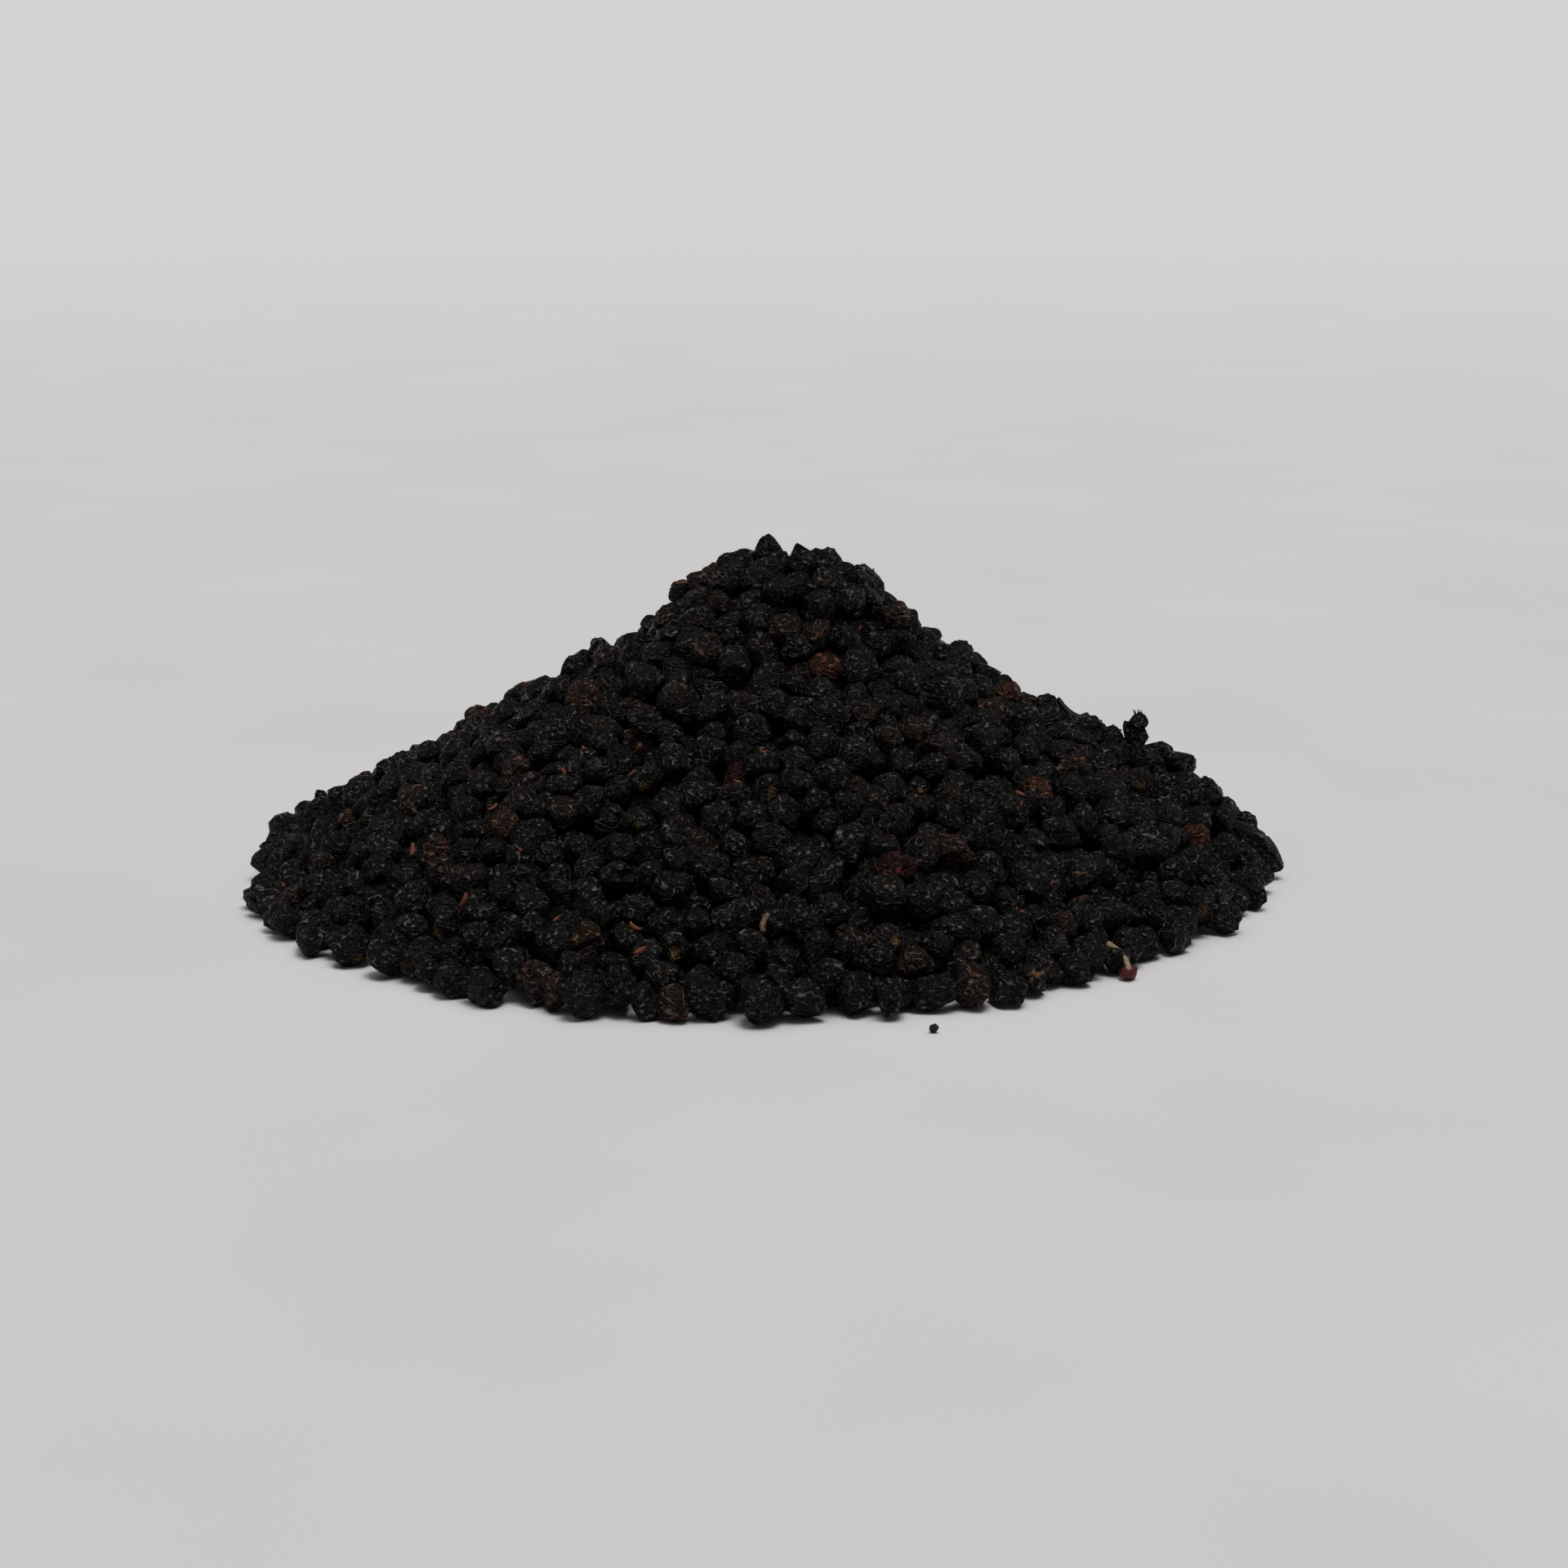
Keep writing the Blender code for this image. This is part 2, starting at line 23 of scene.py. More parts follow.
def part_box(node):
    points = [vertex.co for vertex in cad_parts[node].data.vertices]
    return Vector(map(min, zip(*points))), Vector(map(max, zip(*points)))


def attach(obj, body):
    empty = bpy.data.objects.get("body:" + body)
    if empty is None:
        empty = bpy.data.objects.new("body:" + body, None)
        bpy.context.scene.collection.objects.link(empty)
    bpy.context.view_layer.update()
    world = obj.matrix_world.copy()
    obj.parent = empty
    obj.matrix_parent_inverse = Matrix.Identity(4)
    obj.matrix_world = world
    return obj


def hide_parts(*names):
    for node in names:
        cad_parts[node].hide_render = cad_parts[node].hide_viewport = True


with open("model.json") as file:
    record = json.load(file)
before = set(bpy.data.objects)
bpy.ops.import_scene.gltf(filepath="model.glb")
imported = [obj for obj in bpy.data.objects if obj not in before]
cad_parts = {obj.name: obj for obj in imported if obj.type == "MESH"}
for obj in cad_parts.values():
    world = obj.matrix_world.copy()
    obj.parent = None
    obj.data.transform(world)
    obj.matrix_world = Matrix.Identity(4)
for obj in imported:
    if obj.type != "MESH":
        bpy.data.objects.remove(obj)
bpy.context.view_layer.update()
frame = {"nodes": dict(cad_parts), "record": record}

MM = 0.001
BODY = "root"
FLOOR_SLACK = 0.25 * MM
LEAST_LIFT = 0.02 * MM
SEAM_CONTRAST = 1.6
LOG = logging.getLogger("elderberry_heap")


class Shade(Enum):
    """Colour of a dried berry's skin."""

    BLACK = "black_skin"
    BROWN = "brown_skin"
    RED_BROWN = "red_brown_skin"
    CRIMSON = "crimson_skin"


class Fineness(Enum):
    """Squares along each side of the cube that a berry is shaped from."""

    HIDDEN = 2
    DEEP = 3
    HALF_SEEN = 4
    SEEN = 6
    CLOSE = 11


class Berry(NamedTuple):
    """One berry of the heap: its centre and its radius."""

    x: float
    y: float
    z: float
    r: float


def linear(hex_colour: str) -> tuple[float, float, float, float]:
    """Turn an sRGB hex colour into linear red, green, blue and alpha.

    Args:
        hex_colour: Six hex digits after a hash sign.

    Returns:
        The linear colour with an alpha of 1.
    """
    parts = [int(hex_colour[place : place + 2], 16) / 255.0 for place in (1, 3, 5)]
    red, green, blue = (
        part / 12.92 if part <= 0.04045 else ((part + 0.055) / 1.055) ** 2.4 for part in parts
    )
    return red, green, blue, 1.0


def add_node(
    tree: bpy.types.NodeTree,
    kind: str,
    inputs: dict[str | int, Any] | None = None,
    stops: Sequence[tuple[float, str]] = (),
    **settings: Any,
) -> bpy.types.Node:
    """Add a node, set its properties, and fill or link its inputs.

    Args:
        tree: Node tree that the node joins.
        kind: Blender's name of the node type.
        inputs: Input sockets by name or number, each with a value or with a socket to link.
        stops: Positions and sRGB hex colours of a colour ramp, in rising order.
        settings: Properties of the node by name.

    Returns:
        The new node.
    """
    node = tree.nodes.new(kind)
    for name, value in settings.items():
        setattr(node, name, value)
    for name, value in (inputs or {}).items():
        if isinstance(value, bpy.types.NodeSocket):
            tree.links.new(value, node.inputs[name])
        else:
            node.inputs[name].default_value = value
    if stops:
        elements = node.color_ramp.elements
        while len(elements) < len(stops):
            elements.new(0.5)
        for element, (place, colour) in zip(elements, stops, strict=True):
            element.position = place
            element.color = linear(colour)
    return node


def new_material(name: str) -> tuple[bpy.types.Material, bpy.types.NodeTree, bpy.types.Node]:
    """Make a material with a Principled shader.

    Args:
        name: Name of the material.

    Returns:
        The material, its node tree and its shader.
    """
    material = bpy.data.materials.new(name)
    material.use_nodes = True
    tree = material.node_tree
    return material, tree, tree.nodes["Principled BSDF"]


@dataclass(frozen=True)
class DriedSkin:
    """Skin of an air-dried elderberry: shrunken into fine wrinkles, waxy on their ridges.

    The tone of each berry runs through the stops. The ridges are smoother than the pits
    between them, so they catch thin glints; broken dashes along the ridges are also painted
    lighter as painted glints, and the pits are painted near black as painted shade. The stalk's
    scar is a dry tan spot. The finest real wrinkles are too fine to show, so they are drawn
    coarser than they are.
    """

    name: str
    stops: tuple[tuple[float, str], ...]
    # ridge: colour of the painted glints, laid on broken dashes along the ridges
    ridge: str
    # pit: near-black colour painted in the pits between the wrinkles, painted shade
    pit: str
    scar: str = "#7d5c38"
    speckle: float = 0.34 * MM
    cell: float = 0.78 * MM
    grain: float = 0.20 * MM
    grain_share: float = 0.25
    # Size and range of the patches that break the ridges' painted glints into dashes
    glint_patch: float = 0.55 * MM
    glint_patch_range: tuple[float, float] = (0.48, 0.62)
    blotch_share: float = 0.16
    scar_raggedness: float = 0.9
    scar_range: tuple[float, float] = (1.18, 1.46)
    stir_rate: float = 0.7
    stir_reach: float = 1.1
    net_stretch: tuple[float, float, float] = (0.75, 0.80, 1.75)
    net_width: float = 0.11
    net_share: float = 0.6
    wrinkle: float = 2.4 * MM
    wrinkle_turns: float = 6.0
    wrinkle_squash: float = 1.5
    wrinkle_edge: float = 0.35
    ridge_roughness: float = 0.27
    pit_roughness: float = 0.62
    specular: float = 0.12
    relief: float = 0.60 * MM
    fold: float = 0.95 * MM
    fold_share: float = 1.3

    @cache
    def material(self) -> bpy.types.Material:
        """Build the material, once for each finish.

        Returns:
            The finished material.
        """
        material, tree, shader = new_material(self.name)
        add = partial(add_node, tree)
        place = add("ShaderNodeTexCoord").outputs["Object"]
        mark = add("ShaderNodeAttribute", attribute_name="berry_mark").outputs["Vector"]
        marks = add("ShaderNodeSeparateXYZ", {"Vector": mark}).outputs
        patterns = (
            (self.grain, 2.0),
            (3.0 * self.cell, 3.0),
            (self.glint_patch, 1.0),
            (self.speckle, 1.0),
            (self.fold, 1.0),
        )
        noises = [
            add("ShaderNodeTexNoise", {"Vector": place, "Scale": 1.0 / size, "Detail": detail})
            for size, detail in patterns
        ]
        grain, blotch, glint_patch, speckle, folds = (noise.outputs["Fac"] for noise in noises)
        ridges = self.ridges(tree, place)
        sums = (
            (blotch, self.blotch_share, marks["X"]),
            (speckle, self.scar_raggedness, marks["Y"]),
            (grain, self.grain_share, ridges),
        )
        shifted, spot, fine = (
            add("ShaderNodeMath", dict(enumerate(parts)), operation="MULTIPLY_ADD").outputs[0]
            for parts in sums
        )
        centred = add(
            "ShaderNodeMath",
            {0: shifted, 1: 0.5 * self.blotch_share},
            operation="SUBTRACT",
            use_clamp=True,
        ).outputs[0]
        skin = add("ShaderNodeValToRGB", {"Fac": centred}, self.stops).outputs["Color"]
        glint_mask, scarred = (
            add(
                "ShaderNodeMapRange", {"Value": value, "From Min": low, "From Max": high}
            ).outputs["Result"]
            for value, (low, high) in ((glint_patch, self.glint_patch_range), (spot, self.scar_range))
        )
        # Painted glints: the ridges are painted lighter where the glint patches fall
        painted_glints = add("ShaderNodeMath", {0: ridges, 1: glint_mask}, operation="MULTIPLY").outputs[0]
        # Painted shade: the pits start near black, the skin tone covers the ridges, then the
        # painted glints and the scar go over it
        colour = linear(self.pit)
        layers = ((ridges, skin), (painted_glints, linear(self.ridge)), (scarred, linear(self.scar)))
        for share, over in layers:
            mixed = add("ShaderNodeMix", {0: share, 6: colour, 7: over}, data_type="RGBA")
            colour = mixed.outputs[2]
        rough = add(
            "ShaderNodeMapRange",
            {"Value": ridges, "To Min": self.pit_roughness, "To Max": self.ridge_roughness},
        ).outputs["Result"]
        height = add(
            "ShaderNodeMath", {0: folds, 1: self.fold_share, 2: fine}, operation="MULTIPLY_ADD"
        ).outputs[0]
        bump = add(
            "ShaderNodeBump", {"Height": height, "Distance": self.relief, "Strength": 1.0}
        ).outputs["Normal"]
        for name, source in (("Base Color", colour), ("Roughness", rough), ("Normal", bump)):
            tree.links.new(source, shader.inputs[name])
        shader.inputs["Specular IOR Level"].default_value = self.specular
        return material

    def ridges(
        self, tree: bpy.types.NodeTree, place: bpy.types.NodeSocket
    ) -> bpy.types.NodeSocket:
        """Parallel curved wrinkles joined by a net of ridges, 1 on a ridge and 0 in the pits.

        Args:
            tree: Node tree of the material.
            place: Coordinates of the pattern.

        Returns:
            Socket with the ridges' height.
        """
        add = partial(add_node, tree)
        stir = add(
            "ShaderNodeTexNoise",
            {"Vector": place, "Scale": self.stir_rate / self.cell, "Detail": 2.0},
        ).outputs["Color"]
        stirred = add(
            "ShaderNodeVectorMath",
            {0: stir, 1: (self.stir_reach * self.cell,) * 3, 2: place},
            operation="MULTIPLY_ADD",
        ).outputs["Vector"]
        stretched, flat = (
            add(
                "ShaderNodeVectorMath", {0: source, 1: sizes}, operation="MULTIPLY"
            ).outputs["Vector"]
            for source, sizes in (
                (stirred, self.net_stretch),
                (place, (1.0, 1.0, self.wrinkle_squash)),
            )
        )
        cells = add(
            "ShaderNodeTexVoronoi",
            {"Vector": stretched, "Scale": 1.0 / self.cell},
            feature="DISTANCE_TO_EDGE",
        ).outputs["Distance"]
        rise = add(
            "ShaderNodeTexNoise", {"Vector": flat, "Scale": 1.0 / self.wrinkle, "Detail": 1.0}
        ).outputs["Fac"]
        turns = add(
            "ShaderNodeMath", {0: rise, 1: math.tau * self.wrinkle_turns}, operation="MULTIPLY"
        ).outputs[0]
        wave = add("ShaderNodeMath", {0: turns}, operation="SINE").outputs[0]
        joints = {"Value": cells, "From Max": self.net_width, "To Min": self.net_share}
        crests = {"Value": wave, "From Min": self.wrinkle_edge}
        net, wrinkles = (
            add("ShaderNodeMapRange", inputs, interpolation_type="SMOOTHSTEP").outputs["Result"]
            for inputs in ({**joints, "To Max": 0.0}, crests)
        )
        return add("ShaderNodeMath", {0: wrinkles, 1: net}, operation="MAXIMUM").outputs[0]


@dataclass(frozen=True)
class DryFibre:
    """Dry stalk, calyx or scrap: matte plant fibre with fine ribs and darker flecks."""

    name: str
    pale: str
    dark: str
    fleck: float = 0.5 * MM
    roughness: float = 0.85
    relief: float = 0.05 * MM

    @cache
    def material(self) -> bpy.types.Material:
        """Build the material, once for each finish.

        Returns:
            The finished material.
        """
        material, tree, shader = new_material(self.name)
        add = partial(add_node, tree)
        place = add("ShaderNodeTexCoord").outputs["Object"]
        flecks = add(
            "ShaderNodeTexNoise",
            {"Vector": place, "Scale": 1.0 / self.fleck, "Detail": 4.0, "Roughness": 0.7},
        ).outputs["Fac"]
        stops = ((0.30, self.dark), (0.62, self.pale))
        colour = add("ShaderNodeValToRGB", {"Fac": flecks}, stops).outputs["Color"]
        bump = add(
            "ShaderNodeBump", {"Height": flecks, "Distance": self.relief, "Strength": 0.9}
        ).outputs["Normal"]
        for name, source in (("Base Color", colour), ("Normal", bump)):
            tree.links.new(source, shader.inputs[name])
        shader.inputs["Roughness"].default_value = self.roughness
        shader.inputs["Specular IOR Level"].default_value = 0.3
        return material


@dataclass(frozen=True)
class MattePaper:
    """Seamless matte paper of a studio table, pale grey and almost without texture.

    Far from the heap the paper fades into the glow of the room behind it.
    """

    name: str = "matte_paper"
    pale: str = "#d7d6d4"
    dark: str = "#d4d3d1"
    cloud: float = 60.0 * MM
    glow: str = "#d2d2d3"
    fade_start: float = 0.12
    fade_end: float = 1.3

    @cache
    def material(self) -> bpy.types.Material:
        """Build the material, once for each finish.

        Returns:
            The finished material.
        """
        material, tree, shader = new_material(self.name)
        add = partial(add_node, tree)
        place = add("ShaderNodeTexCoord").outputs["Object"]
        noise = {"Vector": place, "Scale": 1.0 / self.cloud}
        cloud = add("ShaderNodeTexNoise", noise).outputs["Fac"]
        stops = ((0.35, self.dark), (0.65, self.pale))
        colour = add("ShaderNodeValToRGB", {"Fac": cloud}, stops).outputs["Color"]
        tree.links.new(colour, shader.inputs["Base Color"])
        shader.inputs["Roughness"].default_value = 1.0
        shader.inputs["Specular IOR Level"].default_value = 0.0
        away = add("ShaderNodeVectorMath", {"Vector": place}, operation="LENGTH").outputs["Value"]
        faded = add(
            "ShaderNodeMapRange",
            {"Value": away, "From Min": self.fade_start, "From Max": self.fade_end},
            interpolation_type="SMOOTHSTEP",
        ).outputs["Result"]
        glow = add("ShaderNodeEmission", {"Color": linear(self.glow)}).outputs["Emission"]
        paper = add("ShaderNodeMixShader", {0: faded, 1: shader.outputs["BSDF"], 2: glow})
        output = tree.nodes["Material Output"]
        tree.links.new(paper.outputs["Shader"], output.inputs["Surface"])
        return material


# In each skin, ridge is the colour of the painted glints and pit is painted shade in the creases
BLACK_SKIN = DriedSkin(
    name="dried_elderberry_skin_black",
    stops=(
        (0.0, "#060505"),
        (0.50, "#0c0a09"),
        (0.72, "#15100e"),
        (0.88, "#271a15"),
        (0.95, "#40261d"),
        (1.0, "#573122"),
    ),
    ridge="#58534e",
    pit="#020202",
)
BROWN_SKIN = DriedSkin(
    name="dried_elderberry_skin_brown",
    stops=((0.0, "#35241a"), (0.5, "#4a3223"), (1.0, "#60432f")),
    ridge="#775840",
    pit="#150d08",
)
RED_BROWN_SKIN = DriedSkin(
    name="dried_elderberry_skin_red_brown",
    stops=((0.0, "#432419"), (0.5, "#583123"), (1.0, "#6d412c")),
    ridge="#80523b",
    pit="#1c0c07",
)
CRIMSON_SKIN = DriedSkin(
    name="dried_elderberry_skin_crimson",
    stops=((0.0, "#2a1010"), (0.5, "#401917"), (1.0, "#52231e")),
    ridge="#5a2c27",
    pit="#100505",
)
SKINS = {
    Shade.BLACK: BLACK_SKIN,
    Shade.BROWN: BROWN_SKIN,
    Shade.RED_BROWN: RED_BROWN_SKIN,
    Shade.CRIMSON: CRIMSON_SKIN,
}
PALE_STALK = DryFibre(name="dry_elder_stalk_pale", pale="#9f8b70", dark="#5c402d")
DRY_STALK = DryFibre(name="dry_elder_stalk", pale="#6f5540", dark="#33241a")
DRY_CALYX = DryFibre(name="dry_calyx_bract", pale="#a3805a", dark="#4b3221", fleck=0.3 * MM)
DRY_HUSK = DryFibre(name="dry_berry_husk", pale="#7c4630", dark="#2f1a12", fleck=0.3 * MM)
DRY_SCRAP = DryFibre(name="dry_berry_scrap", pale="#2a211d", dark="#0d0a0a", roughness=0.7)
DRY_STUB = DryFibre(name="dry_crimson_stub", pale="#5c1420", dark="#21060c", roughness=0.6)


@dataclass(frozen=True)
class HeapOutline:
    """Outline that the berries of the heap settle under."""

    radius: float = 65.8 * MM
    foot: float = 3.0 * MM
    slope: float = 0.61
    slope_lean: float = 0.04
    rim_wave_counts: tuple[int, ...] = (1, 2, 3, 5, 9)
    rim_unevenness: float = 0.018
    rim_turn: float = -2.5
    crown_offset: float = 2.0 * MM
    crown_radius: float = 15.0 * MM
    crown_height: float = 41.0 * MM
    crown_drop: float = 5.5 * MM
    crown_top: float = 42.5 * MM
    wave_height: float = 0.8 * MM
    wave_length_x: float = 4.1 * MM
    wave_length_y: float = 4.7 * MM
    shoulders: tuple[tuple[float, float, float, float], ...] = (
        (53.0 * MM, 2.0 * MM, 7.0 * MM, 4.0 * MM),
        (-57.0 * MM, 0.0, 5.0 * MM, 1.0 * MM),
    )

    def rim(self, azimuth: float) -> float:
        """Radius of the heap's foot in one direction."""
        waves = sum(
            self.rim_unevenness
            / math.sqrt(count)
            * math.sin(count * azimuth + count + self.rim_turn)
            for count in self.rim_wave_counts
        )
        return self.radius * (1.0 + waves)

    def top(self, x: float, y: float) -> float:
        """Height of the outline above (x, y)."""
        azimuth = math.atan2(y, x)
        slope = self.slope * (1.0 + self.slope_lean * math.cos(azimuth))
        cone = self.foot + (self.rim(azimuth) - math.hypot(x, y)) * slope
        off_crown = math.hypot(x - self.crown_offset, y) / self.crown_radius
        crown = self.crown_height - self.crown_drop * off_crown**4
        wave = (
            self.wave_height
            * math.sin(x / self.wave_length_x + 1.0)
            * math.sin(y / self.wave_length_y + 2.0)
        )
        right, left = (
            height * math.exp(-((x - at_x) ** 2 + (y - at_y) ** 2) / (2.0 * width * width))
            for at_x, at_y, width, height in self.shoulders
        )
        return min(max(cone, crown), self.crown_top) + wave + right + left


@dataclass
class BerryHeap:
    """Berries dropped one by one on the heap, each rolling until it lies still."""

    outline: HeapOutline = field(default_factory=HeapOutline)
    radius: float = 2.0 * MM
    spread: float = 0.2 * MM
    least: float = 1.5 * MM
    most: float = 2.5 * MM
    seed: int = 7
    tries: int = 36000
    fall_step: float = 0.3 * MM
    fall_steps: int = 400
    push_rounds: int = 8
    grip: float = 0.10
    squeeze: float = 0.12
    slack: float = 0.3 * MM
    rim_share: float = 0.6
    sink_share: float = 0.6
    drop_gap: float = 0.5 * MM
    berries: list[Berry] = field(default_factory=list)
    cells: dict[tuple[int, int, int], list[Berry]] = field(default_factory=dict)
    cover: dict[tuple[int, int], float] = field(default_factory=dict)

    def cell(self, x: float, y: float, z: float) -> tuple[int, int, int]:
        """Cell of the search grid that holds a point."""
        size = 2.0 * self.most
        return int(x // size), int(y // size), int(z // size)

    def near(self, x: float, y: float, z: float) -> list[Berry]:
        """Berries in the 27 cells around a point."""
        i, j, k = self.cell(x, y, z)
        found = []
        for a in (i - 1, i, i + 1):
            for b in (j - 1, j, j + 1):
                for c in (k - 1, k, k + 1):
                    found += self.cells.get((a, b, c), ())
        return found

    def add(self, berry: Berry) -> None:
        """Keep a settled berry and raise the cover over it.

        Args:
            berry: The berry, where it came to rest.
        """
        self.berries.append(berry)
        self.cells.setdefault(self.cell(*berry[:3]), []).append(berry)
        reach = berry.r + self.radius
        cells = math.ceil(reach / MM)
        column, row = int(berry.x // MM), int(berry.y // MM)
        for a in range(column - cells, column + cells + 1):
            for b in range(row - cells, row + cells + 1):
                aside = ((a + 0.5) * MM - berry.x) ** 2 + ((b + 0.5) * MM - berry.y) ** 2
                if aside < reach * reach:
                    height = berry.z + math.sqrt(reach * reach - aside)
                    self.cover[(a, b)] = max(self.cover.get((a, b), 0.0), height)

    def start_height(self, x: float, y: float, r: float) -> float:
        """Height just above the berries that are already there."""
        cover = self.cover.get((int(x // MM), int(y // MM)), 0.0)
        return max(cover + r - self.radius + self.drop_gap, r)

    def push_out(
        self, point: tuple[float, float, float], r: float, neighbours: list[Berry]
    ) -> tuple[float, float, float]:
        """Move a berry's centre out of its neighbours and up from the floor.

        Args:
            point: Centre of the berry.
            r: Radius of the berry.
            neighbours: Berries that it may touch.

        Returns:
            The moved centre.
        """
        x, y, z = point
        for _ in range(self.push_rounds):
            moved = False
            for other in neighbours:
                dx, dy, dz = x - other.x, y - other.y, z - other.z
                need = r + other.r
                squared = dx * dx + dy * dy + dz * dz
                if squared < need * need * 0.99999:
                    distance = math.sqrt(squared)
                    share = (need - distance) / distance
                    x += dx * share
                    y += dy * share
                    z += dz * share
                    moved = True
            if z < r:
                z = r
                moved = True
            if not moved:
                break
        return x, y, z

    def settle(self, x: float, y: float, r: float) -> Berry:
        """Drop a berry and let it roll until it hardly sinks.

        Args:
            x: Place of the drop.
            y: Place of the drop.
            r: Radius of the berry.

        Returns:
            The berry where it lies still.
        """
        point = (x, y, self.start_height(x, y, r))
        for _ in range(self.fall_steps):
            below = (point[0], point[1], point[2] - self.fall_step)
            lower = self.push_out(below, r, self.near(*below))
            if point[2] - lower[2] < self.grip * self.fall_step:
                break
            point = lower
        return Berry(*point, r)

    def fits(self, berry: Berry) -> bool:
        """True where a settled berry stays inside the outline and hardly squeezed."""
        under = berry.z + berry.r <= self.outline.top(berry.x, berry.y) + self.slack
        foot = self.outline.rim(math.atan2(berry.y, berry.x))
        inside = math.hypot(berry.x, berry.y) + self.rim_share * berry.r <= foot
        if not (under and inside):
            return False
        overlaps = [
            berry.r + other.r - math.dist(berry[:3], other[:3])
            for other in self.near(*berry[:3])
        ]
        return max(overlaps, default=0.0) <= self.squeeze * berry.r

    def fill(self) -> None:
        """Drop berries all over the foot until the heap is full."""
        rng = random.Random(self.seed)
        for _ in range(self.tries):
            drawn = rng.gauss(self.radius, self.spread)
            r = min(max(drawn, self.least), self.most)
            reach = self.outline.radius * math.sqrt(rng.random())
            azimuth = rng.uniform(-math.pi, math.pi)
            x, y = reach * math.cos(azimuth), reach * math.sin(azimuth)
            start = self.start_height(x, y, r)
            if start - self.sink_share * r - self.drop_gap > self.outline.top(x, y):
                continue
            berry = self.settle(x, y, r)
            if self.fits(berry):
                self.add(berry)

    def inside(self, node: str) -> list[Berry]:
        """Berries whose centre lies in the box of a solid, in the order of their drop."""
        low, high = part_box(node)
        return [
            berry
            for berry in self.berries
            if all(low[axis] < berry[axis] < high[axis] for axis in range(3))
        ]


@dataclass
class HeapViews:
    """How much of each berry shows from all round the heap."""

    pitch: float = 0.4 * MM
    elevations: tuple[float, ...] = (2.0, 15.0, 35.0, 60.0)
    sectors: int = 8

    def seen(self, berries: list[Berry]) -> np.ndarray:
        """Largest share of each berry's disc that shows from any direction.

        Args:
            berries: The berries of the heap.

        Returns:
            One share from 0 to 1 for each berry.
        """
        turns = [math.tau * number / self.sectors for number in range(self.sectors)]
        ways = [(turn, math.radians(rise)) for rise in self.elevations for turn in turns]
        ways.append((0.0, math.pi / 2.0))
        data = np.array(berries)
        return np.max([self.seen_from(data, *way) for way in ways], axis=0)

    def seen_from(self, data: np.ndarray, azimuth: float, elevation: float) -> np.ndarray:
        """Share of each berry's disc that shows from one direction.

        Args:
            data: Centres and radii, a row for each berry.
            azimuth: Direction of the view about Z.
            elevation: Height of the view above the horizon.

        Returns:
            One share from 0 to 1 for each berry.
        """
        level = math.cos(elevation)
        towards = np.array(
            [level * math.cos(azimuth), level * math.sin(azimuth), math.sin(elevation)]
        )
        right = np.array([-math.sin(azimuth), math.cos(azimuth), 0.0])
        up = np.cross(towards, right)
        across = data[:, :3] @ right / self.pitch
        along = data[:, :3] @ up / self.pitch
        depth = data[:, :3] @ towards + 0.5 * data[:, 3]
        size = data[:, 3] / self.pitch
        low = np.array([(across - size).min(), (along - size).min()]) - 2.0
        span = np.array([(across + size).max(), (along + size).max()]) - low + 3.0
        grid = np.full(np.ceil(span).astype(int), -1)
        for number in np.argsort(depth):
            u, v, s = across[number] - low[0], along[number] - low[1], size[number]
            u0, u1 = int(u - s), int(u + s) + 2
            v0, v1 = int(v - s), int(v + s) + 2
            du = np.arange(u0, u1)[:, None] - u
            dv = np.arange(v0, v1)[None, :] - v
            grid[u0:u1, v0:v1][du * du + dv * dv < s * s] = number
        counts = np.bincount(grid[grid >= 0], minlength=len(data))
        return counts / (math.pi * size * size)


def read_rows(
    items: bpy.types.bpy_prop_collection, name: str, width: int, kind: type = float
) -> np.ndarray:
    """Read a property of many items as an array.

    Args:
        items: The items, such as a mesh's vertices.
        name: Name of the property.
        width: Number of values that each item has.
        kind: Type of the values.

    Returns:
        A row for each item.
    """
    rows = np.empty(len(items) * width, dtype=kind)
    items.foreach_get(name, rows)
    return rows.reshape(-1, width)


def press(piece: bpy.types.Object, pattern: str, kind: str, size: float, depth: float) -> None:
    """Press the surface of the active object in by a pattern.

    Args:
        piece: The active object.
        pattern: Name of the pattern, which is made when it is first asked for.
        kind: Blender's type of texture.
        size: Size of the pattern.
        depth: Depth of the dents; below 0 the pattern's seams stand proud.
    """
    texture = bpy.data.textures.get(pattern) or bpy.data.textures.new(pattern, kind)
    texture.noise_scale = size
    if kind == "VORONOI":
        texture.weight_1, texture.weight_2 = -1.0, 1.0
        texture.noise_intensity = SEAM_CONTRAST
    dents = piece.modifiers.new("dents", "DISPLACE")
    dents.texture = texture
    dents.texture_coords = "GLOBAL"
    dents.strength = depth
    bpy.ops.object.modifier_apply(modifier=dents.name)


class Mould(NamedTuple):
    """Mesh of one berry shape of radius 1, with the places that its finish needs."""

    points: np.ndarray
    faces: np.ndarray
    corners: np.ndarray
    directions: np.ndarray


